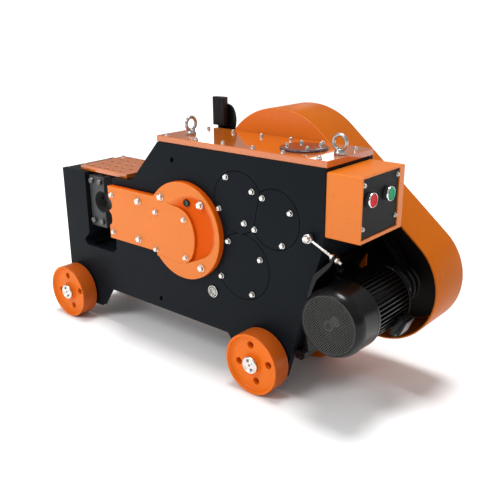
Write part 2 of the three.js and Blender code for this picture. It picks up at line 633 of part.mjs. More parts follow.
const forkPlate = tBlock(-14, 8, T_FORK[0], T_FORK[1], -9, 9);
let base = join(slopePlate, knuckleWeb, frontEar, arm, forkPlate, rodY(HINGE, 9, 24, 168, 16));
base = cut(base, rodY(HINGE, 5.6, 20, 172, 16), tBlock(-5, 12, T_FORK[0] - 12, T_FORK[1] + 12, -4.5, 4.5));
add("motor_base", base, M.black);
const hingeEar = [[446.5, 103], [446.5, 123.5], [458, 125], [473, 121], [475, 110], [466, 102]];
add(
  "base_hinge_bracket",
  join(
    alongY(hingeEar, 6, 22),
    alongY(hingeEar, 170, 186),
    alongY([[446.5, 103], [446.5, 123.5], [451, 123.5], [451, 103]], 6, 186),
    rodY(HINGE, 5, 2, 190, 16),
  ),
  M.black,
);
add("tension_pivot_bolt", join(rodY(TENSION_PIVOT, 6.2, T_Y - 7, PLATE_T + 8, 16), rodY(TENSION_PIVOT, 10, T_Y - 14, T_Y - 6, 6)), M.zinc);
add("tension_eyebolt", cut(join(rodY(TENSION_PIVOT, 11, T_Y - 5.6, T_Y + 5.6, 20), tRod(3.7, 9, 96)), rodY(TENSION_PIVOT, 6.8, -30, 0, 16)), M.zinc);
add("tension_nut_inner", cut(tRod(7, T_FORK[0] - 7, T_FORK[0] - 0.8, 6), tRod(4.1, T_FORK[0] - 10, T_FORK[0] + 2)), M.zinc);
add("tension_nut_outer", cut(tRod(7, T_FORK[1] + 0.8, T_FORK[1] + 7, 6), tRod(4.1, T_FORK[1] - 2, T_FORK[1] + 10)), M.zinc);

// ------------------------------------------------------------------ control box
add(
  "control_box",
  cut(block(BOX.x0, BOX.x1, BOX.y0, BOX.y1, BOX.z0, BOX.z1), block(BOX.x0 + 4, BOX.x1 + 1, BOX.y0 + 4, BOX.y0 + 150, BOX.z0 + 9, BOX.z1 - 4), block(BOX.x0 - 1, BOX.x1 - 10, BOX.y0 + 4, BOX.y1 - 4, BOX.z0 + 4, BOX.z1 - 4)),
  M.orange,
);
const panelY = [BOX.y0 + 4.6, BOX.y0 + 149.4];
add(
  "control_panel",
  alongX([[panelY[0], BOX.z0 + 9.6], [panelY[1], BOX.z0 + 9.6], [panelY[1], BOX.z1 - 4.6], [panelY[0], BOX.z1 - 4.6]], BOX.x1 - 6, BOX.x1 - 3, [
    ring(RED[0], RED[1], 11, 20),
    ring(GREEN[0], GREEN[1], 11, 20),
  ]),
  M.plastic,
);
for (const [name, c, mat] of [
  ["red", RED, M.red],
  ["green", GREEN, M.green],
]) {
  add(`${name}_button`, join(rodX(c, 10.4, BOX.x1 - 14, BOX.x1 + 5, 24), rodX(c, 14.2, BOX.x1 + 4, BOX.x1 + 10, 24)), mat);
}

// ------------------------------------------------------------------ wheels and axles
const wheelProfile = [
  [AXLE_R + 0.6, 2], [24, 2], [27, 11], [65, 12], [72.5, 0.5], [WHEEL_R - 1.5, 0], [WHEEL_R, 2],
  [WHEEL_R, WHEEL_W - 2], [WHEEL_R - 1.5, WHEEL_W], [72.5, WHEEL_W], [66, 38], [27, 38], [24, WHEEL_W - 2], [AXLE_R + 0.6, WHEEL_W - 2], [AXLE_R + 0.6, 2],
];
function wheel(x, y, back) {
  const prof = wheelProfile.map(([r, a]) => [r, back ? WHEEL_W - a : a]);
  const g = turnedY([0, 0], back ? prof.reverse() : prof, 32);
  let s = solid(g);
  for (let i = 0; i < 4; i++) {
    const a = 0.19 + (TAU * i) / 4;
    s = cut(s, rodY([47 * Math.cos(a), 47 * Math.sin(a)], 9, -10, WHEEL_W + 10, 12));
  }
  const m = geometryOf(s);
  m.translate(x, y, WHEEL_R);
  return m;
}
const REAR_WHEEL_Y = BODY_D - WHEEL_Y - WHEEL_W;
add("wheel_front_left", wheel(WHEEL_X[0], WHEEL_Y, false), M.orange);
add("wheel_front_right", wheel(WHEEL_X[1], WHEEL_Y, false), M.orange);
add("wheel_rear_left", wheel(WHEEL_X[0], REAR_WHEEL_Y, true), M.orange);
add("wheel_rear_right", wheel(WHEEL_X[1], REAR_WHEEL_Y, true), M.orange);
WHEEL_X.forEach((x, i) => {
  const c = [x, WHEEL_R],
    y0 = WHEEL_Y,
    y1 = REAR_WHEEL_Y + WHEEL_W;
  add(i ? "axle_right" : "axle_left", join(rodY(c, AXLE_R, y0 - 1, y1 + 1, 20), rodY(c, 22.5, y0 - 5, y0 + 1.4, 24), rodY(c, 22.5, y1 - 1.4, y1 + 5, 24)), M.zinc);
});

// ------------------------------------------------------------------ hand lever behind the top cover
const LEVER = [34, 556], // pivot (x, z)
  LEVER_Y = 209;
add(
  "lever_quadrant",
  join(
    alongY([[10, 520], [54, 520], [60, 550], [60, 584], [10, 584]], BODY_D + GAP, BODY_D + 5.6),
    rodY(LEVER, 9, BODY_D + 4, 222, 16),
    alongY([[22, 540], [50, 540], [66, 560], [75, 590], [77, 612], [72, 632], [62, 644], [50, 648], [42, 648], [42, 600], [22, 580]], 219.5, 225),
  ),
  M.black,
);
add(
  "hand_lever",
  cut(join(rodY(LEVER, 17, 200, 217, 20), alongY([[27, 560], [41, 560], [39, 655], [29, 655]], 204, 214)), rodY(LEVER, 9.6, 190, 230, 16)),
  M.black,
);
add(
  "lever_grip",
  cut(
    alongZ([[14, 203], [18, 198], [50, 198], [54, 203], [54, 213], [50, 217.5], [18, 217.5], [14, 213]], 592, 668),
    alongZ([[26.6, 203.4], [41.4, 203.4], [41.4, 214.6], [26.6, 214.6]], 590, 655.6),
  ),
  M.rubber,
);

const CENTRE_X = (WHEEL_X[0] - WHEEL_R + GUARD_2[0] + GUARD_2[2]) / 2,
  CENTRE_Y = (-62.5 + GUARD_Y1) / 2;
machine.position.set(-CENTRE_X, -CENTRE_Y, 0);
export default machine;
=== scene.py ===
import math
import random

import bmesh
import bpy
from mathutils import Matrix, Vector
from mathutils.geometry import tessellate_polygon


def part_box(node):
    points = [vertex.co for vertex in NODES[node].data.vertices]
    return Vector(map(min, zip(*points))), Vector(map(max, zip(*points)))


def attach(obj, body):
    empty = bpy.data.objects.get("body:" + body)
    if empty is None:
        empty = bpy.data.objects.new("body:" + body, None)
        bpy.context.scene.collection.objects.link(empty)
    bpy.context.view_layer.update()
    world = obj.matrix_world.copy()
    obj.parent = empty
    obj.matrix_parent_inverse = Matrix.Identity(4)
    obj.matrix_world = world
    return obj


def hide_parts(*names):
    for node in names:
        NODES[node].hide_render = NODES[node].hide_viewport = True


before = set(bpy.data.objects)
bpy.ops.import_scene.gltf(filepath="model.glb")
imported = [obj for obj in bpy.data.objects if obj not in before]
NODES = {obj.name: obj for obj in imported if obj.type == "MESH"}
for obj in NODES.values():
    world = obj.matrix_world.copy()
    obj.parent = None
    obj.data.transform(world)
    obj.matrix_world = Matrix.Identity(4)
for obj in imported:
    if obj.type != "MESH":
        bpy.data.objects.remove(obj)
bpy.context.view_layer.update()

TAU = math.pi * 2
# The drawing frame: X = 0 at the left end of the top cover, Y = 0 at the front plate's face, Z = 0 the ground, millimetres.
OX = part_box("top_cover")[0].x
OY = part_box("front_plate")[0].y


def W(x, y, z):
    return Vector((OX + x / 1000.0, OY + y / 1000.0, z / 1000.0))


# ------------------------------------------------------------------------------------------------ materials
class Nodes:
    """A small helper to lay out a node tree."""

    def __init__(self, name):
        self.m = bpy.data.materials.new(name)
        self.m.use_nodes = True
        self.t = self.m.node_tree
        self.b = self.t.nodes["Principled BSDF"]
        self.coord = self.t.nodes.new("ShaderNodeTexCoord").outputs["Object"]

    def new(self, kind, **kw):
        n = self.t.nodes.new(kind)
        for k, v in kw.items():
            setattr(n, k, v)
        return n

    def link(self, a, b):
        self.t.links.new(a, b)

    def mapped(self, scale=(1, 1, 1), rot=(0, 0, 0)):
        n = self.new("ShaderNodeMapping")
        n.inputs["Scale"].default_value = scale
        n.inputs["Rotation"].default_value = rot
        self.link(self.coord, n.inputs["Vector"])
        return n.outputs["Vector"]

    def noise(self, scale, detail=2.0, rough=0.5, vec=None, distort=0.0):
        n = self.new("ShaderNodeTexNoise")
        n.inputs["Scale"].default_value = scale
        n.inputs["Detail"].default_value = detail
        n.inputs["Roughness"].default_value = rough
        n.inputs["Distortion"].default_value = distort
        self.link(vec or self.coord, n.inputs["Vector"])
        return n.outputs["Fac"]

    def ramp(self, fac, stops, interp="LINEAR"):
        n = self.new("ShaderNodeValToRGB")
        n.color_ramp.interpolation = interp
        e = n.color_ramp.elements
        while len(e) < len(stops):
            e.new(0.5)
        for i, (p, c) in enumerate(stops):
            e[i].position = p
            e[i].color = (*c, 1) if len(c) == 3 else c
        self.link(fac, n.inputs["Fac"])
        return n.outputs["Color"]

    def scalar(self, fac, lo, hi, f0=0.3, f1=0.7):
        n = self.new("ShaderNodeMapRange")
        n.inputs["From Min"].default_value = f0
        n.inputs["From Max"].default_value = f1
        n.inputs["To Min"].default_value = lo
        n.inputs["To Max"].default_value = hi
        self.link(fac, n.inputs["Value"])
        return n.outputs["Result"]

    def mix(self, fac, a, b):
        n = self.new("ShaderNodeMix", data_type="RGBA")
        for sock, v in (("Factor", fac), ("A", a), ("B", b)):
            s = n.inputs[{"Factor": 0, "A": 6, "B": 7}[sock]]
            if hasattr(v, "is_linked") or hasattr(v, "links"):
                self.link(v, s)
            else:
                s.default_value = (*v, 1) if isinstance(v, tuple) and len(v) == 3 else v
        return n.outputs[2]

    def add(self, *facs):
        out = facs[0]
        for f in facs[1:]:
            n = self.new("ShaderNodeMath", operation="ADD")
            self.link(out, n.inputs[0])
            if isinstance(f, (int, float)):
                n.inputs[1].default_value = f
            else:
                self.link(f, n.inputs[1])
            out = n.outputs[0]
        return out

    def mul(self, a, k):
        n = self.new("ShaderNodeMath", operation="MULTIPLY")
        self.link(a, n.inputs[0])
        if isinstance(k, (int, float)):
            n.inputs[1].default_value = k
        else:
            self.link(k, n.inputs[1])
        return n.outputs[0]

    def bump(self, height, strength, distance):
        n = self.new("ShaderNodeBump")
        n.inputs["Strength"].default_value = strength
        n.inputs["Distance"].default_value = distance
        self.link(height, n.inputs["Height"])
        self.link(n.outputs["Normal"], self.b.inputs["Normal"])

    def set(self, **kw):
        for k, v in kw.items():
            self.b.inputs[k.replace("_", " ")].default_value = (*v, 1) if isinstance(v, tuple) else v
        return self


def shade(c, k):
    return tuple(min(1.0, max(0.0, v * k)) for v in c)


def paint(name, base, rough, coat=0.0, coat_rough=0.06, peel=0.25, tint=0.06, dust=0.05, ior=1.5, spec=0.5, grime=None, recess_shade=None):
    """Sprayed paint: faint orange peel, slow colour drift, a film of dust that changes the gloss, small specks."""
    n = Nodes(name)
    drift = n.noise(5.5, 3, 0.55)
    fine = n.noise(90, 4, 0.6)
    col = n.ramp(n.add(n.mul(drift, 0.75), n.mul(fine, 0.25)), [(0.3, shade(base, 1 - tint)), (0.7, shade(base, 1 + tint))])
    if grime is None:
        grime = (0.42, 0.40, 0.37)
    film = n.scalar(n.noise(14, 5, 0.65), 0.0, dust, 0.46, 0.78)
    col = n.mix(film, col, grime)
    speck = n.scalar(n.noise(900, 1, 0.5), 0.0, dust * 2.0, 0.70, 0.76)
    col = n.mix(speck, col, shade(grime, 0.9))
    if recess_shade:
        # painted shade: the further a face lies back along +Y behind the front of a cover that faces -Y, the darker and
        # less glossy it is drawn, so its hollows and rounded edges look shaded
        sep = n.new("ShaderNodeSeparateXYZ")
        n.link(n.coord, sep.inputs["Vector"])
        col = n.mix(n.scalar(sep.outputs["Y"], 0.0, 1.0, recess_shade[0], recess_shade[1]), col, recess_shade[2])
        n.link(n.scalar(sep.outputs["Y"], spec, 0.02, recess_shade[0], recess_shade[1]), n.b.inputs["Specular IOR Level"])
    n.link(col, n.b.inputs["Base Color"])
    n.link(n.add(n.scalar(n.noise(22, 4, 0.6), rough * 0.86, rough * 1.16), n.mul(film, 0.8)), n.b.inputs["Roughness"])
    n.set(Coat_Weight=coat, Coat_Roughness=coat_rough, IOR=ior, Specular_IOR_Level=spec)
    n.bump(n.add(n.mul(n.noise(420, 2, 0.5), 1.0), n.mul(n.noise(60, 2, 0.5), 0.8)), peel, 0.0004)
    return n.m


def metal(name, base, rough, brushed=None, var=0.08, bump=0.15, scale=180, spots=None):
    """Bare or plated metal. brushed stretches the grain along that axis (0, 1 or 2)."""
    n = Nodes(name)
    vec = None
    if brushed is not None:
        s = [1, 1, 1]
        s[brushed] = 0.02
        vec = n.mapped(tuple(s))
    grain = n.noise(scale * (6 if brushed is not None else 1), 3, 0.6, vec)
    cloud = n.noise(12, 4, 0.6)
    col = n.ramp(n.add(n.mul(grain, 0.45), n.mul(cloud, 0.55)), [(0.3, shade(base, 1 - var)), (0.7, shade(base, 1 + var))])
    if spots:
        col = n.mix(n.scalar(n.noise(70, 4, 0.7), 0, 0.8, 0.62, 0.72), col, spots)
    n.link(col, n.b.inputs["Base Color"])
    n.link(n.add(n.scalar(grain, rough * 0.8, rough * 1.2), n.scalar(cloud, -0.03, 0.05)), n.b.inputs["Roughness"])
    n.set(Metallic=1.0)
    n.bump(grain, bump, 0.00025)
    return n.m


def rubbery(name, base, rough=0.6, scale=500, peel=0.5, spec=0.5):
    n = Nodes(name)
    n.set(Specular_IOR_Level=spec)
    g = n.noise(scale, 3, 0.6)
    col = n.ramp(n.add(n.mul(g, 0.5), n.mul(n.noise(25, 3, 0.6), 0.5)), [(0.3, shade(base, 0.75)), (0.72, shade(base, 1.5))])
    n.link(col, n.b.inputs["Base Color"])
    n.link(n.scalar(g, rough * 0.88, min(1, rough * 1.12)), n.b.inputs["Roughness"])
    n.bump(g, peel, 0.0003)
    return n.m


def cast(name, base, rough=0.62):
    n = Nodes(name)
    g = n.noise(260, 4, 0.65)
    c = n.noise(30, 4, 0.6)
    col = n.ramp(n.add(n.mul(g, 0.4), n.mul(c, 0.6)), [(0.3, shade(base, 0.8)), (0.7, shade(base, 1.25))])
    n.link(col, n.b.inputs["Base Color"])
    n.link(n.scalar(g, rough * 0.85, rough * 1.15), n.b.inputs["Roughness"])
    n.set(Metallic=0.35)
    n.bump(n.add(g, n.mul(n.noise(90, 2, 0.5), 0.8)), 0.5, 0.0005)
    return n.m


ORANGE = (0.74, 0.176, 0.0075)
M = {
    "orange": paint("orange_gloss_paint", ORANGE, 0.30, coat=0.12, coat_rough=0.08, peel=0.10, spec=0.34, dust=0.006, grime=(0.6, 0.33, 0.18)),
    # painted shade: a darker copy of the orange for the upward-facing deck and mouth tray, so these tops read dimmer
    # than the front covers
    "orange_deck": paint("orange_deck_painted_shade", (0.60, 0.135, 0.006), 0.16, coat=1.0, coat_rough=0.03, peel=0.05, dust=0.015, ior=1.55, grime=(0.6, 0.36, 0.22)),
    # painted shade: a darker, almost unreflecting copy of the orange for the belt guard's band, whose lower side faces
    # down away from the lamps
    "orange_guard": paint("orange_guard_painted_shade", (0.52, 0.120, 0.008), 0.30, coat=0.0, coat_rough=0.1, peel=0.10, spec=0.015, dust=0.006, grime=(0.4, 0.18, 0.09)),
    "orange_tread": paint("orange_tread_paint", (0.46, 0.085, 0.008), 0.34, peel=0.18, tint=0.12, spec=0.14, dust=0.03, grime=(0.30, 0.14, 0.07)),
    "orange_wheel": paint("orange_wheel_paint", (0.78, 0.165, 0.006), 0.34, peel=0.15, tint=0.08, spec=0.18, dust=0.02, grime=(0.5, 0.22, 0.10)),
    "slate": paint("slate_satin_paint", (0.0066, 0.0092, 0.0122), 0.40, peel=0.18, tint=0.10, dust=0.012, grime=(0.045, 0.05, 0.055), spec=0.06),
    "slate_in": paint("slate_inner_paint", (0.008, 0.010, 0.013), 0.5, peel=0.2, tint=0.1, dust=0.02, grime=(0.05, 0.05, 0.05), spec=0.08),
    "black": paint("motor_black_paint", (0.0042, 0.0042, 0.0043), 0.24, coat=0.05, coat_rough=0.10, peel=0.22, tint=0.12, dust=0.012, grime=(0.03, 0.03, 0.028), spec=0.20),
    # painted shade: near-black paint for the inside of the belt guard, standing in for the shade inside it
    "guard_inside_shade": paint("guard_inside_painted_shade", (0.008, 0.007, 0.0065), 0.6, peel=0.2, tint=0.15, dust=0.04, grime=(0.03, 0.024, 0.02)),
    # the round lid is dark glossy paint; its plum tint is painted reflection of the orange guard and the white studio
    # in it
    "deck": paint("lid_dark_plum_painted_reflection", (0.040, 0.010, 0.026), 0.18, coat=1.0, coat_rough=0.04, peel=0.08, tint=0.1, dust=0.02, grime=(0.12, 0.1, 0.1)),
    "zinc": metal("zinc_plate", (0.70, 0.68, 0.65), 0.26, var=0.06, bump=0.08, scale=300),
    "chrome": metal("chrome_ring", (0.86, 0.87, 0.88), 0.10, var=0.03, bump=0.03, scale=300),
    "steel": metal("machined_steel", (0.44, 0.45, 0.46), 0.30, brushed=0, var=0.12, bump=0.15),
    "tool": metal("tool_steel", (0.16, 0.155, 0.15), 0.36, brushed=2, var=0.14, bump=0.2, spots=(0.09, 0.075, 0.06)),
    "iron": cast("dark_cast_iron", (0.045, 0.047, 0.05)),
    "seat": cast("seat_cast_steel", (0.060, 0.062, 0.064), 0.5),
    "rubber": rubbery("belt_rubber", (0.006, 0.006, 0.006), 0.7, 700, 0.6, 0.15),
    "grip": rubbery("grip_rubber", (0.009, 0.009, 0.0095), 0.42, 900, 0.25, 0.3),
    "plastic": rubbery("panel_plastic", (0.0085, 0.009, 0.0095), 0.5, 1100, 0.25, 0.12),
    "eye": metal("eye_forged_steel", (0.46, 0.46, 0.45), 0.30, var=0.12, bump=0.2, scale=220),
    "grille": paint("grille_paint", (0.060, 0.060, 0.056), 0.4, peel=0.3, tint=0.15, dust=0.03, grime=(0.07, 0.068, 0.062), spec=0.3),
}


def gloss(name, base, rough=0.2):
    n = Nodes(name)
    g = n.noise(40, 3, 0.5)
    n.link(n.ramp(g, [(0.3, shade(base, 0.86)), (0.7, shade(base, 1.12))]), n.b.inputs["Base Color"])
    n.link(n.scalar(n.noise(160, 3, 0.6), rough * 0.8, rough * 1.3), n.b.inputs["Roughness"])
    n.set(Coat_Weight=0.0, Coat_Roughness=0.08, Specular_IOR_Level=0.08)
    n.bump(n.noise(700, 2, 0.5), 0.05, 0.0002)
    return n.m


M["red"] = gloss("red_cap", (0.60, 0.004, 0.010))
M["green"] = gloss("green_cap", (0.002, 0.30, 0.13))
M["mark"] = gloss("dial_mark_white", (0.75, 0.75, 0.72), 0.4)


def glass_material():
    n = Nodes("sight_glass")
    g = n.noise(60, 2, 0.5)
    n.link(n.ramp(g, [(0.3, (0.62, 0.66, 0.60)), (0.7, (0.78, 0.80, 0.74))]), n.b.inputs["Base Color"])
    n.link(n.scalar(n.noise(200, 2, 0.5), 0.04, 0.12), n.b.inputs["Roughness"])
    n.set(Transmission_Weight=0.55, IOR=1.5, Coat_Weight=0.4)
    n.bump(n.noise(500, 1, 0.5), 0.03, 0.0002)
    return n.m


M["glass"] = glass_material()

# ------------------------------------------------------------------------------------------------ mesh helpers
MADE = []


def finish_obj(name, bm, mats, body, replaces=(), slot=None, angle=32, bevel=0.0, seg=2, smooth=True, weighted=False):
    bmesh.ops.remove_doubles(bm, verts=bm.verts, dist=2e-6)
    bmesh.ops.recalc_face_normals(bm, faces=bm.faces)
    me = bpy.data.meshes.new(name)
    bm.to_mesh(me)
    bm.free()
    for m in mats if isinstance(mats, (list, tuple)) else [mats]:
        me.materials.append(M[m] if isinstance(m, str) else m)
    ob = bpy.data.objects.new(name, me)
    bpy.context.scene.collection.objects.link(ob)
    if smooth:
        me.shade_smooth()
        me.set_sharp_from_angle(angle=math.radians(angle))
    if weighted:
        w = ob.modifiers.new("normals", "WEIGHTED_NORMAL")
        w.mode = "FACE_AREA"
        w.weight = 100
        w.keep_sharp = True
    if bevel > 0:
        b = ob.modifiers.new("edge", "BEVEL")
        b.width = bevel / 1000.0
        b.segments = seg
        b.limit_method = "ANGLE"
        b.angle_limit = math.radians(35)
        b.use_clamp_overlap = False
        b.harden_normals = True
        b.miter_outer = "MITER_SHARP"
    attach(ob, body)
    if replaces:
        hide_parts(*([replaces] if isinstance(replaces, str) else replaces))
    MADE.append(ob)
    return ob


def ccw(p):
    a = sum(p[i][0] * p[(i + 1) % len(p)][1] - p[(i + 1) % len(p)][0] * p[i][1] for i in range(len(p)))
    return list(p) if a > 0 else list(reversed(p))


PLACE = {
    "y": lambda a, b, t: W(a, t, b),
    "x": lambda a, b, t: W(t, a, b),
    "z": lambda a, b, t: W(a, b, t),
}


def inset(loop, d):
    """Moves a counter-clockwise outline inwards by d (outwards if d < 0), corner by corner."""
    n = len(loop)
    out = []
    for i in range(n):
        p, a, b = loop[i], loop[i - 1], loop[(i + 1) % n]
        u = Vector((p[0] - a[0], p[1] - a[1]))
        v = Vector((b[0] - p[0], b[1] - p[1]))
        if u.length < 1e-7 or v.length < 1e-7:
            out.append(p)
            continue
        u.normalize()
        v.normalize()
        n1, n2 = Vector((-u.y, u.x)), Vector((-v.y, v.x))
        m = n1 + n2
        k = m.length_squared
        if k < 0.12:
            out.append((p[0] + n1.x * d, p[1] + n1.y * d))
            continue
        m = m * (2.0 / k)
        out.append((p[0] + m.x * d, p[1] + m.y * d))
    return out


def prism(bm, outline, lo, hi, axis="y", holes=(), mat=0, place=None, r=0.0, seg=3, r_lo=None, r_hi=None, hole_r=None):
    """An extruded outline with holes and rounded rims, added to bm.

    Outline coordinates are (x, z), (y, z) or (x, y). r rounds the rims at both ends; r_lo and r_hi set them apart, hole_r sets the holes' rims.
    """
    put = place or PLACE[axis]
    loops = [ccw(outline)] + [ccw(h) for h in holes]
    rl, rh = (r if r_lo is None else r_lo), (r if r_hi is None else r_hi)
    rings = []
    for k, l in enumerate(loops):
        sign = 1 if k == 0 else -1
        f = 1.0 if k == 0 or hole_r is None or r == 0 else hole_r / r
        rows = []
        for rad, z0, way in ((rl * f, lo, 1), (rh * f, hi, -1)):
            steps = []
            if rad > 0:
                for q in range(seg + 1):
                    t = math.pi / 2 * q / seg
                    steps.append((rad * (1 - math.sin(t)), z0 + way * rad * (1 - math.cos(t))))
            else:
                steps.append((0.0, z0))
            rows += steps if way == 1 else list(reversed(steps))
        rings.append([[bm.verts.new(put(p[0], p[1], z)) for p in (inset(l, sign * d) if d > 1e-9 else l)] for d, z in rows])
    for end, way in ((0, lo), (-1, hi)):
        pts = []
        for k, l in enumerate(loops):
            rad = (rl if end == 0 else rh) * (1.0 if k == 0 or hole_r is None or r == 0 else hole_r / r)
            pts.append(inset(l, (1 if k == 0 else -1) * rad) if rad > 0 else l)
        tris = tessellate_polygon([[Vector((p[0], p[1], 0)) for p in l] for l in pts])
        flat = [v for ring in rings for v in ring[end]]
        for t in tris:
            try:
                f = bm.faces.new([flat[i] for i in t])
                f.material_index = mat
            except ValueError:
                pass
    for ring in rings:
        for a, b in zip(ring, ring[1:]):
            n = len(a)
            for i in range(n):
                f = bm.faces.new((a[i], a[(i + 1) % n], b[(i + 1) % n], b[i]))
                f.material_index = mat


def ring_pts(c, r, n=48, a0=0.0):
    return [(c[0] + r * math.cos(a0 + TAU * i / n), c[1] + r * math.sin(a0 + TAU * i / n)) for i in range(n)]


def arc(c, r, a, b, n):
    return [(c[0] + r * math.cos(a + (b - a) * i / n), c[1] + r * math.sin(a + (b - a) * i / n)) for i in range(n + 1)]


def fillet(pts, r, n=5, skip=()):
    """Rounds each corner of a closed outline. r is one radius or a list."""
    out = []
    m = len(pts)
    for i in range(m):
        rr = r[i] if isinstance(r, (list, tuple)) else r
        p, a, b = Vector(pts[i]), Vector(pts[i - 1]), Vector(pts[(i + 1) % m])
        if rr <= 0 or i in skip:
            out.append(tuple(p))
            continue
        u, v = (a - p).normalized(), (b - p).normalized()
        ang = math.acos(max(-1, min(1, u.dot(v))))
        if ang > math.radians(176):
            out.append(tuple(p))
            continue
        d = min(rr / math.tan(ang / 2), (a - p).length * 0.49, (b - p).length * 0.49)
        q = d * math.tan(ang / 2)
        c = p + (u + v).normalized() * (q / math.sin(ang / 2))
        s, e = p + u * d - c, p + v * d - c
        a0, a1 = math.atan2(s.y, s.x), math.atan2(e.y, e.x)
        while a1 - a0 > math.pi:
            a1 -= TAU
        while a1 - a0 < -math.pi:
            a1 += TAU
        for k in range(n + 1):
            t = a0 + (a1 - a0) * k / n
            out.append((c.x + q * math.cos(t), c.y + q * math.sin(t)))
    return out


def lathe(bm, prof, place, n=64, mat=0, closed=True, mats=None):
    """Turns a profile [(radius, along)] round an axis; place(u, v, along) puts a point. The profile is closed unless its ends are on the axis."""
    rows = []
    for r, a in prof:
        if r < 1e-6:
            rows.append([bm.verts.new(place(0, 0, a))])
        else:
            rows.append([bm.verts.new(place(r * math.cos(TAU * i / n), r * math.sin(TAU * i / n), a)) for i in range(n)])
    count = len(rows)
    for k in range(count if closed else count - 1):
        a, b = rows[k], rows[(k + 1) % count]
        mi = mats[k] if mats else mat
        if len(a) == 1 and len(b) == 1:
            continue
        for i in range(n):
            j = (i + 1) % n
            if len(a) == 1:
                f = bm.faces.new((a[0], b[j], b[i]))
            elif len(b) == 1:
                f = bm.faces.new((a[i], a[j], b[0]))
            else:
                f = bm.faces.new((a[i], a[j], b[j], b[i]))
            f.material_index = mi


def round_prof(prof, r, n=4, closed=True):
    """Rounds the corners of a lathe profile; points on the axis stay."""
    out = []
    m = len(prof)
    for i in range(m):
        rr = r[i] if isinstance(r, (list, tuple)) else r
        p = Vector(prof[i])
        if rr <= 0 or (not closed and i in (0, m - 1)) or p.x < 1e-6:
            out.append(tuple(p))
            continue
        a, b = Vector(prof[i - 1]), Vector(prof[(i + 1) % m])
        u, v = (a - p), (b - p)
        if u.length < 1e-6 or v.length < 1e-6:
            out.append(tuple(p))
            continue
        lu, lv = u.length, v.length
        u.normalize()
        v.normalize()
        ang = math.acos(max(-1, min(1, u.dot(v))))
        if ang > math.radians(172) or ang < math.radians(4):
            out.append(tuple(p))
            continue
        d = min(rr / math.tan(ang / 2), lu * 0.48, lv * 0.48)
        q = d * math.tan(ang / 2)
        c = p + (u + v).normalized() * (q / math.sin(ang / 2))
        s, e = p + u * d - c, p + v * d - c
        a0, a1 = math.atan2(s.y, s.x), math.atan2(e.y, e.x)
        while a1 - a0 > math.pi:
            a1 -= TAU
        while a1 - a0 < -math.pi:
            a1 += TAU
        for k in range(n + 1):
            t = a0 + (a1 - a0) * k / n
            out.append((c.x + q * math.cos(t), c.y + q * math.sin(t)))
    return out


def about_y(c):
    return lambda u, v, a: W(c[0] + u, a, c[1] + v)


def about_x(c):
    return lambda u, v, a: W(a, c[0] + u, c[1] + v)


def about_z(c):
    return lambda u, v, a: W(c[0] + u, c[1] + v, a)


def frame_place(origin, axis, side=None):
    """place(u, v, along) for a point and axis given in the drawing frame."""
    d = Vector(axis).normalized()
    s = Vector(side) if side else (Vector((0, 0, 1)) if abs(d.z) < 0.9 else Vector((1, 0, 0)))
    e1 = (s - d * s.dot(d)).normalized()
    e2 = d.cross(e1)
    o = Vector(origin)

    def put(u, v, a):
        q = o + e1 * u + e2 * v + d * a
        return W(q.x, q.y, q.z)

    return put


def box_mm(bm, lo, hi, mat=0):
    prism(bm, [(lo[0], lo[2]), (hi[0], lo[2]), (hi[0], hi[2]), (lo[0], hi[2])], lo[1], hi[1], "y", mat=mat)


def hex_bolt(bm, at, axis, af=13.0, h=6.5, washer=17.0, spin=0.0, recess=0.0, mat=0, shank=0.0):
    """Hexagon head with a chamfered crown on a flat washer; axis points out of the joint."""
    put = frame_place(at, axis)
    wt = 1.6
    if washer:
        lathe(bm, round_prof([(0, 0), (washer / 2, 0), (washer / 2, wt), (0, wt)], 0.35, 2, closed=False), put, 28, mat, closed=False)
    z0 = wt - 0.02 if washer else 0.0
    r = af / 2 / math.cos(math.pi / 6)
    n = 6
    rows = []
    for rad, z in ((r, z0), (r, z0 + h * 0.78)):
        rows.append([bm.verts.new(put(rad * math.cos(spin + TAU * i / n), rad * math.sin(spin + TAU * i / n), z)) for i in range(n)])
    m = 24
    crown = [bm.verts.new(put(af * 0.475 * math.cos(spin + TAU * i / m), af * 0.475 * math.sin(spin + TAU * i / m), z0 + h)) for i in range(m)]
    for i in range(n):
        j = (i + 1) % n
        bm.faces.new((rows[0][i], rows[0][j], rows[1][j], rows[1][i])).material_index = mat
        k = i * 4
        fan = [crown[(k + q) % m] for q in range(5)]
        bm.faces.new((rows[1][i], fan[1], fan[0])).material_index = mat
        bm.faces.new((rows[1][i], fan[2], fan[1])).material_index = mat
        bm.faces.new((rows[1][i], rows[1][j], fan[2])).material_index = mat
        bm.faces.new((rows[1][j], fan[3], fan[2])).material_index = mat
        bm.faces.new((rows[1][j], fan[4], fan[3])).material_index = mat
    c2 = [bm.verts.new(put(af * 0.40 * math.cos(spin + TAU * i / m), af * 0.40 * math.sin(spin + TAU * i / m), z0 + h)) for i in range(m)]
    c3 = [bm.verts.new(put(af * 0.36 * math.cos(spin + TAU * i / m), af * 0.36 * math.sin(spin + TAU * i / m), z0 + h - 0.35)) for i in range(m)]
    for i in range(m):
        j = (i + 1) % m
        bm.faces.new((crown[i], crown[j], c2[j], c2[i])).material_index = mat
        bm.faces.new((c2[i], c2[j], c3[j], c3[i])).material_index = mat
    bm.faces.new(c3).material_index = mat
    bm.faces.new(list(reversed(rows[0]))).material_index = mat


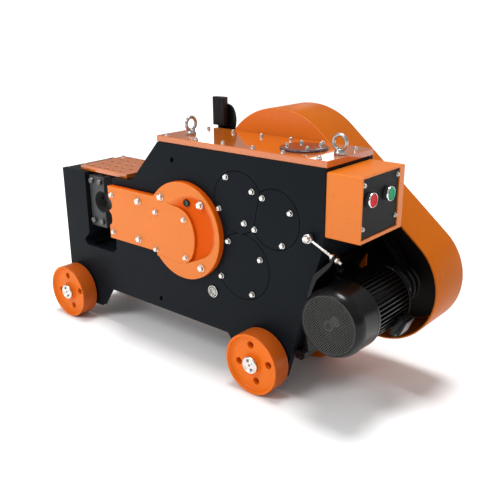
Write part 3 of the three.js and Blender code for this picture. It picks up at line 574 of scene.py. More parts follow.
def cap_screw(bm, at, axis, d=10.0, h=6.0, socket=5.0, washer=0.0, mat=0):
    """Socket-head cap screw: knurl-free cylinder with a rounded rim and a hexagon socket."""
    put = frame_place(at, axis)
    z0 = 0.0
    if washer:
        lathe(bm, round_prof([(0, 0), (washer / 2, 0), (washer / 2, 1.4), (0, 1.4)], 0.3, 2, closed=False), put, 28, mat, closed=False)
        z0 = 1.38
    r = d / 2
    prof = round_prof([(0, z0), (r, z0), (r, z0 + h), (socket * 0.62, z0 + h)], [0, 0.2, 0.9, 0], 3, closed=False)
    lathe(bm, prof, put, 28, mat, closed=False)
    # hexagon socket: ring of the head's face down to a flat floor
    m = 24
    rim = [bm.verts.new(put(socket * 0.62 * math.cos(TAU * i / m), socket * 0.62 * math.sin(TAU * i / m), z0 + h)) for i in range(m)]
    hx, fl = [], []
    for i in range(m):
        t = TAU * i / m
        k = (t + math.pi / 6) % (math.pi / 3) - math.pi / 6
        rad = socket * 0.5 / math.cos(k)
        hx.append(bm.verts.new(put(rad * math.cos(t), rad * math.sin(t), z0 + h - 0.25)))
        fl.append(bm.verts.new(put(rad * math.cos(t), rad * math.sin(t), z0 + h * 0.45)))
    for i in range(m):
        j = (i + 1) % m
        bm.faces.new((rim[i], rim[j], hx[j], hx[i])).material_index = mat
        bm.faces.new((hx[i], hx[j], fl[j], fl[i])).material_index = mat
    bm.faces.new(fl).material_index = mat


def solid_piece(name, mats, body, build, **kw):
    bm = bmesh.new()
    build(bm)
    return finish_obj(name, bm, mats, body, **kw)


def bolts(name, body, items, axis, mat="zinc", slot="zinc_plate", kind=hex_bolt, **kw):
    bm = bmesh.new()
    rnd = random.Random(name)
    for at in items:
        if kind is hex_bolt:
            kind(bm, at, axis, spin=rnd.random() * math.pi / 3, **kw)
        else:
            kind(bm, at, axis, **kw)
    return finish_obj(name, bm, mat, body, slot=slot, angle=25)


# ------------------------------------------------------------------------------------------------ dimensions (as in the CAD)
CRANK = (101.4, 355.9)


def away(f, t, d):
    dx, dz = t[0] - f[0], t[1] - f[1]
    l = math.hypot(dx, dz)
    return (f[0] + dx / l * d, f[1] + dz / l * d)


THIRD = away(CRANK, (287.5, 297.9), 195.0)
SECOND = away(THIRD, (384.2, 433.8), 168.0)
INPUT = away(SECOND, (275, 457.1), 112.5)
MOTOR = (580.0, 249.0)
WHEEL_X = (-369.0, 359.0)
EPS = 0.15  # how far a stand-in stays inside the CAD surface where two pieces meet

plate_outline = [
    (-418, 58), (-400, 39), (-278, 39), (-232, 106), (237, 106), (283, 39), (420, 39), (436, 95), (492, 298), (515, 373), (522, 408), (522, 572),
    (4, 572), (-112, 448), (-190, 448), (-190, 240), (-205, 226), (-325, 226), (-338, 240), (-312, 266), (-312, 448), (-418, 448),
]


def clipped(c, r, n, side):
    d = (SECOND[0] - INPUT[0], SECOND[1] - INPUT[1])
    l = math.hypot(*d)
    u = (d[0] / l, d[1] / l)
    lim = (l * l + 75.2 ** 2 - 71.4 ** 2) / (2 * l)
    out = []
    for p in ring_pts(c, r, n):
        v = (p[0] - INPUT[0]) * u[0] + (p[1] - INPUT[1]) * u[1]
        over = (v - (lim - 0.5)) if side > 0 else (lim + 0.5 - v)
        out.append((p[0] - side * over * u[0], p[1] - side * over * u[1]) if over > 0 else p)
    return out


def grown(c, pts, d):
    return [(p[0] + (p[0] - c[0]) / math.hypot(p[0] - c[0], p[1] - c[1]) * d, p[1] + (p[1] - c[1]) / math.hypot(p[0] - c[0], p[1] - c[1]) * d) for p in pts]


# ------------------------------------------------------------------------------------------------ camera and light come first
cam_data = bpy.data.cameras.new("camera")
cam_data.lens = 50
cam_data.sensor_width = 36
cam_data.clip_end = 500
cam = bpy.data.objects.new("camera", cam_data)
bpy.context.scene.collection.objects.link(cam)
bpy.context.scene.camera = cam
az, pitch, roll = math.radians(40.25), math.radians(19.08), math.radians(-0.336)
right = Vector((math.cos(az), math.sin(az), 0))
fwd = Vector((-math.sin(az) * math.cos(pitch), math.cos(az) * math.cos(pitch), -math.sin(pitch)))
up = right.cross(fwd)
r2 = right * math.cos(roll) + up * math.sin(roll)
u2 = -right * math.sin(roll) + up * math.cos(roll)
rot = Matrix((r2, u2, -fwd)).transposed().to_4x4()
cam.matrix_world = Matrix.Translation(W(1323.9, -1194.9, 888.3)) @ rot


def area_light(name, loc, target, size, power, color=(1, 1, 1), size_y=None):
    ld = bpy.data.lights.new(name, "AREA")
    ld.energy = power
    ld.color = color
    ld.shape = "RECTANGLE"
    ld.size = size
    ld.size_y = size_y or size
    ob = bpy.data.objects.new(name, ld)
    bpy.context.scene.collection.objects.link(ob)
    ob.location = loc
    ob.rotation_euler = (Vector(target) - Vector(loc)).to_track_quat("-Z", "Y").to_euler()
    return ob


bpy.context.scene.view_settings.view_transform = "Standard"
bpy.context.scene.view_settings.look = "None"
world = bpy.data.worlds.new("studio")
bpy.context.scene.world = world
world.use_nodes = True
wt = world.node_tree
wc = wt.nodes.new("ShaderNodeTexCoord")
ws = wt.nodes.new("ShaderNodeSeparateXYZ")
wt.links.new(wc.outputs["Generated"], ws.inputs["Vector"])
wm = wt.nodes.new("ShaderNodeMapRange")
wm.inputs["From Min"].default_value = -1.0
wm.inputs["From Max"].default_value = 1.0
wt.links.new(ws.outputs["Z"], wm.inputs["Value"])
wr = wt.nodes.new("ShaderNodeValToRGB")
# brightness of the studio by height: white at the horizon line, dim walls, brighter ceiling
sky = [(0.0, 0.15), (0.490, 0.15), (0.496, 1.0), (0.522, 1.0), (0.535, 0.13), (0.60, 0.22), (0.72, 0.45), (1.0, 0.60)]
el = wr.color_ramp.elements
while len(el) < len(sky):
    el.new(0.5)
for i, (pos, v) in enumerate(sky):
    el[i].position = pos
    el[i].color = (v, v, v, 1)
wt.links.new(wm.outputs["Result"], wr.inputs["Fac"])
wt.links.new(wr.outputs["Color"], wt.nodes["Background"].inputs["Color"])
wt.nodes["Background"].inputs["Strength"].default_value = 1.0

sun_data = bpy.data.lights.new("sun", "SUN")
sun_data.energy = 2.25
sun_data.angle = math.radians(20)
sun = bpy.data.objects.new("sun", sun_data)
bpy.context.scene.collection.objects.link(sun)
sun.rotation_euler = Vector((0.06, -0.10, -1.0)).to_track_quat("-Z", "Y").to_euler()

area_light("key", (-0.9, -2.9, 3.0), (0, 0, 0.3), 1.6, 66, (1.0, 1.0, 1.0))
area_light("deck_glint_left", (-3.5, 3.57, 1.45), (0, 0, 0.588), 0.25, 1.6, (1, 1, 1), size_y=0.5)
area_light("deck_glint_right", (-2.6, 4.26, 1.5), (0.4, 0, 0.588), 0.34, 1.2, (1, 1, 1), size_y=0.5)
area_light("strip_right", (3.0, 1.6, 1.3), (0.3, 0, 0.3), 0.25, 3, (1, 1, 1), size_y=1.8)

floor_mat = Nodes("studio_floor")
floor_mat.set(Base_Color=(0.97, 0.97, 0.97), Roughness=0.9, Specular_IOR_Level=0.0)
fbm = bmesh.new()
for x, y in ((-200, -200), (200, -200), (200, 200), (-200, 200)):
    fbm.verts.new((x, y, 0))
fbm.faces.new(fbm.verts)
fme = bpy.data.meshes.new("floor")
fbm.to_mesh(fme)
fbm.free()
fme.materials.append(floor_mat.m)
floor = bpy.data.objects.new("floor", fme)
bpy.context.scene.collection.objects.link(floor)

# ------------------------------------------------------------------------------------------------ housing
cover_in = clipped(INPUT, 75.2, 96, 1)
cover_2 = clipped(SECOND, 71.4, 96, -1)
cover_3 = ring_pts(THIRD, 83.2, 96)


def slot_pts(c, lx, lz, ang=0.0):
    """Oblong outline lx long and lz wide."""
    r = lz / 2
    h = lx / 2 - r
    pts = arc((h, 0), r, -math.pi / 2, math.pi / 2, 8) + arc((-h, 0), r, math.pi / 2, 3 * math.pi / 2, 8)
    return [(c[0] + p[0] * math.cos(ang) - p[1] * math.sin(ang), c[1] + p[0] * math.sin(ang) + p[1] * math.cos(ang)) for p in pts]


def front_plate(bm):
    holes = [ring_pts((x, 79), 14, 32) for x in WHEEL_X]
    holes += [ring_pts(CRANK, 62, 64), ring_pts((190, 209), 13.8, 32), ring_pts((489, 415), 6.6, 20)]
    holes += [slot_pts((55, 531), 15, 10, 1.25), slot_pts((-11, 135), 15, 10, 1.25)]
    holes += [grown(INPUT, cover_in, 1.05), grown(SECOND, cover_2, 1.05), grown(THIRD, cover_3, 1.05)]
    # the input and second covers share a flat, so their holes are cut as one
    a, b = holes.pop(-3), holes.pop(-2)
    prism(bm, fillet(plate_outline, [2, 2, 2, 6, 6, 2, 2, 0, 0, 0, 0, 1, 2, 2, 1, 3, 5, 5, 4, 4, 1, 1], 4), 0, 18, "y", holes + [joined_outline(a, b)], r=1.1)


def joined_outline(a, b):
    """Outline round two touching discs: input cover and second cover."""
    d = (SECOND[0] - INPUT[0], SECOND[1] - INPUT[1])
    l = math.hypot(*d)
    u = (d[0] / l, d[1] / l)
    lim = (l * l + 75.2 ** 2 - 71.4 ** 2) / (2 * l)

    def t(p):
        return (p[0] - INPUT[0]) * u[0] + (p[1] - INPUT[1]) * u[1]

    base = math.atan2(u[1], u[0])
    ra, rb = 75.2 + 1.05, 71.4 + 1.05
    ha = math.acos(min(1, lim / ra))
    hb = math.acos(min(1, (l - lim) / rb))
    pa = arc(INPUT, ra, base + ha, base + TAU - ha, 84)
    pb = arc(SECOND, rb, base + math.pi + hb, base + math.pi + TAU - hb, 80)
    return pa + pb


solid_piece("plate_front", "slate", "housing", front_plate, replaces="front_plate", slot="slate_paint", weighted=True)


def rear_plate(bm):
    holes = [ring_pts((x, 79), 14, 32) for x in WHEEL_X] + [ring_pts(CRANK, 34.6, 48), ring_pts(INPUT, 20.6, 32), ring_pts(SECOND, 20.6, 32), ring_pts(THIRD, 24.6, 32)]
    prism(bm, fillet(plate_outline, [2, 2, 2, 6, 6, 2, 2, 0, 0, 0, 0, 1, 2, 2, 1, 3, 5, 5, 4, 4, 1, 1], 4), 173, 191, "y", holes, r=1.1)


solid_piece("plate_rear", "slate", "housing", rear_plate, replaces="rear_plate", slot="slate_paint", weighted=True)

for node in ("housing_wrap", "shoulder_plate", "cutting_block"):
    ob = NODES[node]
    ob.data.materials.clear()
    ob.data.materials.append(M["slate"])
    b = ob.modifiers.new("edge", "BEVEL")
    b.width, b.segments, b.limit_method = 0.001, 2, "ANGLE"
    b.use_clamp_overlap = True


def flush_cover(name, outline, c, node, r):
    def build(bm):
        prism(bm, outline, 0.0, 18, "y", r=1.0)
        lathe(bm, [(r + 0.6, 17.9), (r + 14, 17.9), (r + 14, 38), (r + 0.6, 38)], about_y(c), 40)

    solid_piece(name, "slate", "housing", build, replaces=node, slot="slate_paint", weighted=True)


flush_cover("cover_input", cover_in, INPUT, "bearing_cover_input", 20)
flush_cover("cover_second", cover_2, SECOND, "bearing_cover_second", 20)
flush_cover("cover_third", cover_3, THIRD, "bearing_cover_third", 24)

bolts("bolts_cover_input", "housing", [(x, 0, z) for x, z in ((239, 514), (320, 491), (216, 433), (296, 410))], (0, -1, 0), af=11, h=5.5, washer=14.5)
bolts("bolts_cover_second", "housing", [(x, 0, z) for x, z in ((351, 481), (431, 459), (328, 401), (410, 378))], (0, -1, 0), af=11, h=5.5, washer=14.5)
bolts("bolts_cover_third", "housing", [(x, 0, z) for x, z in ((244, 355), (345, 329), (220, 259), (320, 234))], (0, -1, 0), af=11, h=5.5, washer=14.5)

# ------------------------------------------------------------------------------------------------ orange front covers
moat = [
    (62, 430), (84, 440), (106, 449), (134, 457), (160, 459), (186, 447), (203, 426), (214, 400), (219, 370), (217, 345), (207, 324), (191, 307),
    (170, 295), (148, 285), (126, 277), (104, 271), (96, 330), (80, 400),
]
keyhole = [
    (-189, 280), (-189, 317), (-181, 323), (-177.5, 332), (-177.5, 344), (-181, 352), (-187, 356.5), (-187, 361), (-178, 366), (-174.5, 373),
    (-174.5, 383), (-179, 391), (-187, 396), (-189, 430), (-2, 431), (28, 428), (54, 421), (84, 417), (108, 410), (122, 400), (133, 386),
    (141, 366), (144, 345), (142, 320), (134, 295), (124, 281), (112, 271), (96, 267), (60, 268), (20, 273), (0, 280),
]


def subtract(ob, cutter):
    """Boolean cut applied to the mesh."""
    m = ob.modifiers.new("cut", "BOOLEAN")
    m.operation = "DIFFERENCE"
    m.object = cutter
    m.solver = "EXACT"
    bake(ob)
    bpy.data.objects.remove(cutter)


def bake(ob):
    dg = bpy.context.evaluated_depsgraph_get()
    me = bpy.data.meshes.new_from_object(ob.evaluated_get(dg))
    ob.modifiers.clear()
    old = ob.data
    ob.data = me
    me.name = ob.name
    bpy.data.meshes.remove(old)


def raw(build, mats=("orange",)):
    """A temporary object for boolean work."""
    bm = bmesh.new()
    build(bm)
    bmesh.ops.remove_doubles(bm, verts=bm.verts, dist=2e-6)
    bmesh.ops.recalc_face_normals(bm, faces=bm.faces)
    me = bpy.data.meshes.new("tmp")
    bm.to_mesh(me)
    bm.free()
    for m in mats:
        me.materials.append(M[m])
    ob = bpy.data.objects.new("tmp", me)
    bpy.context.scene.collection.objects.link(ob)
    return ob


def combine(base, others, op="DIFFERENCE"):
    for c in others:
        m = base.modifiers.new("b", "BOOLEAN")
        m.operation = op
        m.object = c
        m.solver = "EXACT"
        bake(base)
        bpy.data.objects.remove(c)
    return base


def adopt(ob, name, body, replaces=(), slot=None, angle=32, bevel=0.0, seg=2, weighted=True):
    """Turns a boolean result into a finished piece."""
    bm = bmesh.new()
    bm.from_mesh(ob.data)
    mats = list(ob.data.materials)
    bpy.data.objects.remove(ob)
    bmesh.ops.dissolve_limit(bm, angle_limit=math.radians(0.4), verts=bm.verts, edges=bm.edges, delimit={"MATERIAL"})
    return finish_obj(name, bm, mats, body, replaces, slot, angle, bevel, seg, True, weighted)


def smooth_closed(pts, n=4):
    """Catmull-Rom through a closed outline."""
    out = []
    m = len(pts)
    for i in range(m):
        p0, p1, p2, p3 = (Vector(pts[(i + k) % m]) for k in (-1, 0, 1, 2))
        for k in range(n):
            t = k / n
            q = 0.5 * ((2 * p1) + (p2 - p0) * t + (2 * p0 - 5 * p1 + 4 * p2 - p3) * t * t + (3 * p1 - p0 - 3 * p2 + p3) * t ** 3)
            out.append((q.x, q.y))
    return out


def resample(pts, n):
    """n + 1 points at even distance along an open curve."""
    d = [0.0]
    for a, b in zip(pts, pts[1:]):
        d.append(d[-1] + math.hypot(b[0] - a[0], b[1] - a[1]))
    out = []
    k = 0
    for i in range(n + 1):
        t = d[-1] * i / n
        while k < len(pts) - 2 and d[k + 1] < t:
            k += 1
        f = (t - d[k]) / (d[k + 1] - d[k])
        out.append((pts[k][0] + (pts[k + 1][0] - pts[k][0]) * f, pts[k][1] + (pts[k + 1][1] - pts[k][1]) * f))
    return out


def smooth_open(pts, n=6):
    q = [(2 * pts[0][0] - pts[1][0], 2 * pts[0][1] - pts[1][1])] + list(pts) + [(2 * pts[-1][0] - pts[-2][0], 2 * pts[-1][1] - pts[-2][1])]
    out = []
    for i in range(1, len(q) - 2):
        p0, p1, p2, p3 = (Vector(q[i + k]) for k in (-1, 0, 1, 2))
        for k in range(n):
            t = k / n
            v = 0.5 * ((2 * p1) + (p2 - p0) * t + (2 * p0 - 5 * p1 + 4 * p2 - p3) * t * t + (3 * p1 - p0 - 3 * p2 + p3) * t ** 3)
            out.append((v.x, v.y))
    out.append(tuple(pts[-1]))
    return out


# The hollow beside the keyhole: deepest at the keyhole's wall, rising in one sweep to the rim.
inner_edge = smooth_open([(44, 422), (62, 419), (84, 416), (107, 409), (121, 399), (132, 385), (140, 366), (143, 345), (141, 320), (133, 296), (123, 282), (108, 270)])
outer_edge = smooth_open([(44, 426), (62, 432), (84, 441), (106, 450), (134, 456.5), (160, 455), (184, 444), (201, 424), (212, 399), (217, 371), (215, 346), (206, 325), (190, 308), (169, 296), (147, 286), (126, 277), (109, 269)])


def hollow(bm):
    NT, NS = 64, 14
    a, b = resample(inner_edge, NT), resample(outer_edge, NT)
    low, top = [], []
    for i in range(NT + 1):
        t = i / NT
        env = min(1.0, t / 0.30) ** 1.2 * min(1.0, (1 - t) / 0.10) ** 0.8
        crisp = 1.5 + 2.2 * t
        rl, rt = [], []
        for k in range(NS + 1):
            u = k / NS
            x, z = a[i][0] + (b[i][0] - a[i][0]) * u, a[i][1] + (b[i][1] - a[i][1]) * u
            depth = 8.9 * env * math.cos(math.pi / 2 * u ** crisp) if k < NS else 0.0
            rl.append(bm.verts.new(W(x, -18.02 + depth, z)))
            rt.append(bm.verts.new(W(x, -20, z)))
        low.append(rl)
        top.append(rt)
    for i in range(NT):
        for k in range(NS):
            bm.faces.new((low[i][k], low[i + 1][k], low[i + 1][k + 1], low[i][k + 1]))
            bm.faces.new((top[i][k], top[i][k + 1], top[i + 1][k + 1], top[i + 1][k]))
        for k in (0, NS):
            bm.faces.new((low[i][k], low[i + 1][k], top[i + 1][k], top[i][k]))
    for i in (0, NT):
        for k in range(NS):
            bm.faces.new((low[i][k], low[i][k + 1], top[i][k + 1], top[i][k]))


# orange_cover_paint carries painted shade: darker, less glossy orange in the hollow beside the keyhole and on the
# covers' rounded edges
M["orange_cover"] = paint("orange_cover_paint", ORANGE, 0.30, coat=0.0, coat_rough=0.08, peel=0.10, spec=0.40, dust=0.006, grime=(0.6, 0.33, 0.18), recess_shade=(W(0, -17.9, 0).y, W(0, -12.5, 0).y, (0.66, 0.088, 0.004)))
crank_prof = round_prof([(0, -18), (127.8, -18), (127.8, -0.4), (59.4, -0.4), (59.4, 29), (34.6, 29), (34.6, -1), (0, -1)], [0, 1.6, 0.8, 0, 0.8, 0.8, 0, 0], 4, closed=False)
crank = raw(lambda bm: lathe(bm, crank_prof, about_y(CRANK), 160, closed=False))
key_s = keyhole[:14] + smooth_closed(keyhole[14:], 3)[: (len(keyhole) - 15) * 3 + 1]
combine(crank, [
    raw(lambda bm: prism(bm, inset(ccw(key_s), -0.12), -19.5, -9.02, "y")),
    raw(hollow),
    raw(lambda bm: lathe(bm, [(0, -20), (7.2, -20), (7.2, 1), (0, 1)], about_y((116, 432)), 24, closed=False)),
])
adopt(crank, "cover_crank", "housing", "crank_cover", "orange_paint", angle=34)
bpy.data.objects["cover_crank"].data.materials[0] = M["orange_cover"]

slid = raw(lambda bm: prism(bm, key_s, -18, -0.4, "y", r_lo=0.45, seg=3))
combine(slid, [raw(lambda bm: lathe(bm, [(0, -9.4), (128.3, -9.4), (128.3, 2), (0, 2)], about_y(CRANK), 160, closed=False))])
adopt(slid, "cover_slider", "housing", "slider_cover", "orange_paint")
bpy.data.objects["cover_slider"].data.materials[0] = M["orange_cover"]

front_bolts = [(-172, 407), (-62, 407), (27, 434), (5, 390), (168, 436), (110, 388), (-173, 300), (-66, 300), (1, 286), (112, 287), (167, 271)]
big = [p for p in front_bolts if p in ((27, 434), (168, 436), (167, 271), (-62, 407), (-66, 300))]
bolts("bolts_crank_cover", "housing", [(x, -18, z) for x, z in big], (0, -1, 0), af=15, h=6.8, washer=20)
bolts("bolts_slider_cover", "housing", [(x, -18, z) for x, z in front_bolts if (x, z) not in big], (0, -1, 0), af=11, h=5.6, washer=15)

# oil filler: dark ring with a grey plug
solid_piece(
    "filler_ring", "grip", "housing",
    lambda bm: lathe(bm, round_prof([(6.2, -16.6), (9.6, -16.6), (9.6, -9.2), (6.8, -9.2), (6.8, -0.2), (6.2, -0.2)], 0.7, 3), about_y((116, 432)), 40),
    replaces="oil_filler_plug", slot="zinc_plate", weighted=True,
)
solid_piece("filler_centre", "tool", "housing", lambda bm: cap_screw(bm, (116, -10.5, 432), (0, -1, 0), d=11.6, h=4.6, socket=5.5), slot="zinc_plate")

# sight glass: zinc ring with a step, a lens, oil behind it and a round mark
solid_piece(
    "sight_bezel", "zinc", "housing",
    lambda bm: lathe(bm, round_prof([(9.2, -4.9), (11.0, -4.9), (11.0, -3.0), (13.7, -3.0), (13.7, -4.6), (15.9, -4.2), (15.9, -0.4), (13.2, -0.4), (13.2, 18), (9.2, 18)], [0.3, 0.5, 0, 0, 0.5, 0.8, 0.2, 0, 0.3, 0.3], 3), about_y((190, 209)), 56),
    replaces="sight_glass", slot="sight_glass", weighted=True,
)
solid_piece("sight_lens", "glass", "housing", lambda bm: lathe(bm, round_prof([(0, -2.6), (5, -2.3), (9.0, -1.4), (9.0, 2), (0, 2)], 0.4, 2, closed=False), about_y((190, 209)), 40, closed=False), slot="sight_glass")

solid_piece("sight_gasket", "grip", "housing", lambda bm: lathe(bm, round_prof([(11.05, -3.9), (13.65, -3.9), (13.65, -2.98), (11.05, -2.98)], [0.3, 0.3, 0, 0], 2), about_y((190, 209)), 48), slot="rubber")


def sight_back(bm):
    prism(bm, ring_pts((190, 209), 8.9, 32), 6, 9, "y", mat=0)
    prism(bm, ring_pts((190, 209), 5.4, 32), 5.2, 6.1, "y", [ring_pts((190, 209), 3.6, 28)], mat=1)


solid_piece("sight_back_disc", ["iron", "mark"], "housing", sight_back, slot="sight_glass")
M["oil"] = gloss("gear_oil", (0.35, 0.16, 0.02), 0.15)
solid_piece("sight_oil_level", "oil", "housing", lambda bm: prism(bm, arc((190, 209), 8.7, math.radians(172), math.radians(368), 24), 3.4, 5, "y"), slot="sight_glass")

# ------------------------------------------------------------------------------------------------ top
ring_hole = ring_pts((400, 90), 42, 48)
solid_piece("deck_cover", "orange_deck", "housing", lambda bm: prism(bm, [(0, 3), (522.5, 3), (522.5, 191), (0, 191)], 572.4, 587.6, "z", [ring_hole], r=1.3, seg=4), replaces="top_cover", slot="orange_paint", weighted=True)
solid_piece(
    "deck_round_lid", "deck", "housing",
    lambda bm: lathe(bm, round_prof([(0, 593.6), (50, 593.6), (56, 592.2), (56, 588), (41.4, 588), (41.4, 581.6), (0, 581.6)], [0, 1.5, 1.2, 0.3, 0, 0.5, 0], 3, closed=False), about_z((400, 90)), 96, closed=False),
    replaces="inspection_cover", slot="slate_paint",
)
bolts("bolts_round_lid", "housing", [(364, 73, 593.3), (372, 119, 593.3), (425, 67, 593.3), (422, 126, 593.3)], (0, 0, 1), af=7.5, h=4.2, washer=10)
top_bolts = [(x, 12) for x in (29, 131, 220, 312, 399, 496)] + [(40, 154), (129, 152), (225, 151), (313, 156), (400, 165), (501, 149)]
bolts("bolts_deck_cover", "housing", [(x, y, 587.6) for x, y in top_bolts], (0, 0, 1), af=9, h=5.6, washer=12.5)


def eye_bolt(name, x, y, along_x, node):
    z = 588.0

    def build(bm):
        lathe(bm, round_prof([(0, z), (12.6, z), (12.6, z + 5), (10.6, z + 8), (9.4, z + 12), (6, z + 14), (0, z + 14)], [0, 0.5, 1.2, 1.5, 1.5, 1, 0], 3, closed=False), about_z((x, y)), 40, closed=False)
        R, r, n, m = 16.5, 4.2, 56, 20
        rows = []
        for i in range(n):
            t = TAU * i / n
            row = []
            for k in range(m):
                s = TAU * k / m
                d = R + r * math.cos(s)
                a, b, c = d * math.cos(t), r * math.sin(s), d * math.sin(t)
                row.append(bm.verts.new(W(x + (a if along_x else b), y + (b if along_x else a), z + 27 + c)))
            rows.append(row)
        for i in range(n):
            for k in range(m):
                bm.faces.new((rows[i][k], rows[(i + 1) % n][k], rows[(i + 1) % n][(k + 1) % m], rows[i][(k + 1) % m]))

    solid_piece(name, "eye", "housing", build, replaces=node, slot="zinc_plate")


eye_bolt("lifting_eye_left", 62, 66, False, "eye_bolt_left")
eye_bolt("lifting_eye_right", 503, 80, True, "eye_bolt_right")

# perforated tray over the mouth: four folded flanges and a sheet with round holes
TX0, TX1, TY0, TY1, TZ0, TZ1 = -356, -150, 20, 186, 448.4, 461
tray_holes = [(x, y) for x in (-318, -286.5, -254, -223, -191) for y in (37, 72.5, 109, 144, 174)]


def tray(bm):
    prism(bm, fillet([(TX0, TY0), (TX1, TY0), (TX1, TY1), (TX0, TY1)], 3, 4), TZ1 - 3, TZ1, "z", [ring_pts(c, 6.2, 28) for c in tray_holes], r_hi=1.4, r_lo=0.0)
    inner = fillet([(TX0 + 3, TY0 + 3), (TX1 - 3, TY0 + 3), (TX1 - 3, TY1 - 3), (TX0 + 3, TY1 - 3)], 2, 4)
    prism(bm, fillet([(TX0, TY0), (TX1, TY0), (TX1, TY1), (TX0, TY1)], 3, 4), TZ0, TZ1 - 3, "z", [inner], r_lo=0.5)


solid_piece("mouth_tray", "orange_deck", "housing", tray, replaces="perforated_guard", slot="orange_paint", weighted=True)
bolts("bolts_mouth_tray", "housing", [(-346, 32, 461), (-346, 174, 461)], (0, 0, 1), af=8, h=4, washer=0)

# ------------------------------------------------------------------------------------------------ knives and seat
seat_outline = [(-311.6, 288), (-246, 288), (-246, 334), (-262, 336), (-278, 343), (-288, 354), (-291, 365), (-288, 376), (-278, 387), (-262, 394), (-246, 396), (-246, 438), (-311.6, 438)]
seat_round = [(-311.6, 288), (-246, 288)] + arc((-260, 365), 31, -math.pi / 2 + 0.45, -3 * math.pi / 2 - 0.45, 28) + [(-246, 438), (-311.6, 438)]
solid_piece("blade_seat", "seat", "housing", lambda bm: prism(bm, seat_round, 14, 42, "y", r=1.4), replaces="fixed_blade_seat", slot="cast_iron", weighted=True)
bolts("bolts_blade_seat", "housing", [(x, 14, z) for x in (-297, -260) for z in (424, 306)], (0, -1, 0), mat="tool", slot="tool_steel", af=16, h=8, washer=0)


def blade_fixed(bm):
    prism(bm, [(-311.6, 318), (-250, 318), (-250, 394), (-311.6, 394)], 42.4, 66, "y", [ring_pts((-285, 356), 9, 32)], r=0.6)


solid_piece("blade_fixed", "tool", "housing", blade_fixed, replaces="fixed_blade", slot="tool_steel", weighted=True)
for node, mat in (("moving_blade", "tool"), ("slider", "steel"), ("connecting_rod", "steel"), ("crankshaft", "steel"), ("crank_gear", "steel"), ("third_shaft", "steel"), ("third_gear", "steel"), ("second_shaft", "steel"), ("second_gear", "steel"), ("input_shaft", "steel"), ("motor_shaft", "tool"), ("motor_fan", "plastic")):
    ob = NODES[node]
    ob.data.materials.clear()
    ob.data.materials.append(M[mat])
    if node in ("moving_blade", "slider", "connecting_rod"):
        b = ob.modifiers.new("edge", "BEVEL")
        b.width, b.segments, b.limit_method = 0.0006, 2, "ANGLE"

# ------------------------------------------------------------------------------------------------ control box
BX0, BX1, BY0, BY1, BZ0, BZ1 = 522.4, 611, 3, 180, 420, 565


def cut_prism(bm, outline, lo, face, out, c, axis):
    """A cutter that rounds the rim of the hole it makes where it meets the plane at face."""
    put = PLACE[axis]
    l = ccw(outline)
    rows = [(0.0, lo), (0.0, face - c), (-c * 0.13, face - c * 0.5), (-c * 0.5, face - c * 0.13), (-c, face), (-c, out)]
    rings = [[bm.verts.new(put(p[0], p[1], z)) for p in (inset(l, d) if d else l)] for d, z in rows]
    n = len(l)
    for a, b in zip(rings, rings[1:]):
        for i in range(n):
            bm.faces.new((a[i], a[(i + 1) % n], b[(i + 1) % n], b[i]))
    bm.faces.new(rings[0])
    bm.faces.new(list(reversed(rings[-1])))


def rect(y0, y1, z0, z1, r=0.0, n=4):
    q = [(y0, z0), (y1, z0), (y1, z1), (y0, z1)]
    return fillet(q, r, n) if r else q


cb = raw(lambda bm: prism(bm, rect(BY0, BY1, BZ0, BZ1, 3.2, 5), BX0, BX1, "x", r_hi=1.6, r_lo=0.8, seg=4))
combine(cb, [
    raw(lambda bm: cut_prism(bm, rect(BY0 + 4, BY0 + 155, BZ0 + 9, BZ1 - 4, 1.5, 3), BX0 + 10, BX1, BX1 + 2, 0.8, "x")),
    raw(lambda bm: prism(bm, rect(BY0 + 3.4, BY1 - 3.4, BZ0 + 3.4, BZ1 - 3.4, 1.5, 3), BX0 + 4, BX1 - 10, "x")),
])
adopt(cb, "box_shell", "housing", "control_box", "orange_paint")


def panel(bm):
    prism(bm, rect(BY0 + 4.6, BY0 + 154.4, BZ0 + 9.6, BZ1 - 4.6, 1.6, 3), BX1 - 6, BX1 - 3, "x", [ring_pts((36, 513), 11, 32), ring_pts((110, 512.5), 11, 32)], r=0.5)


solid_piece("box_panel", "plastic", "housing", panel, replaces="control_panel", slot="black_plastic", weighted=True)
bolts("screws_box_panel", "housing", [(BX1 - 3, y, z) for y, z in ((13, 547), (151, 547), (151, 454), (13, 453))], (1, 0, 0), kind=cap_screw, d=8, h=3.4, socket=4, washer=10.8)

for nm, c in (("red", (36, 513)), ("green", (110, 512.5))):
    solid_piece(
        f"collar_{nm}", "iron", "housing",
        lambda bm, c=c: lathe(bm, round_prof([(10.8, BX1 - 3), (15.6, BX1 - 3), (15.6, BX1 + 4.2), (14.6, BX1 + 4.2), (14.6, BX1 - 0.5), (10.8, BX1 - 0.5)], [0, 0.5, 0.4, 0, 0, 0.3], 3), about_x(c), 56),
        slot="zinc_plate", weighted=True,
    )
    solid_piece(
        f"bezel_{nm}", "chrome", "housing",
        lambda bm, c=c: lathe(bm, round_prof([(14.5, BX1 + 4.2), (16.4, BX1 + 4.2), (17.0, BX1 + 6), (16.4, BX1 + 8.0), (15.2, BX1 + 9.0), (14.5, BX1 + 8.4)], [0.3, 0.8, 1.2, 1.2, 0.6, 0.2], 4), about_x(c), 64),
        slot="zinc_plate", weighted=True,
    )
    solid_piece(
        f"cap_{nm}", nm, f"{nm}_button",
        lambda bm, c=c: lathe(bm, round_prof([(0, BX1 + 9.0), (9.5, BX1 + 9.3), (13.2, BX1 + 9.7), (14.2, BX1 + 8.8), (14.2, BX1 + 4.6), (10.2, BX1 + 4.5), (10.2, BX1 - 14), (0, BX1 - 14)], [0, 4, 0.8, 0.8, 0.3, 0, 0.5, 0], 4, closed=False), about_x(c), 56, closed=False),
        replaces=f"{nm}_button", slot=f"{nm}_plastic", weighted=True,
    )

# ------------------------------------------------------------------------------------------------ belt guard
G1, G2 = (247.0, 462.0, 194.0), (561.0, 266.0, 143.3)


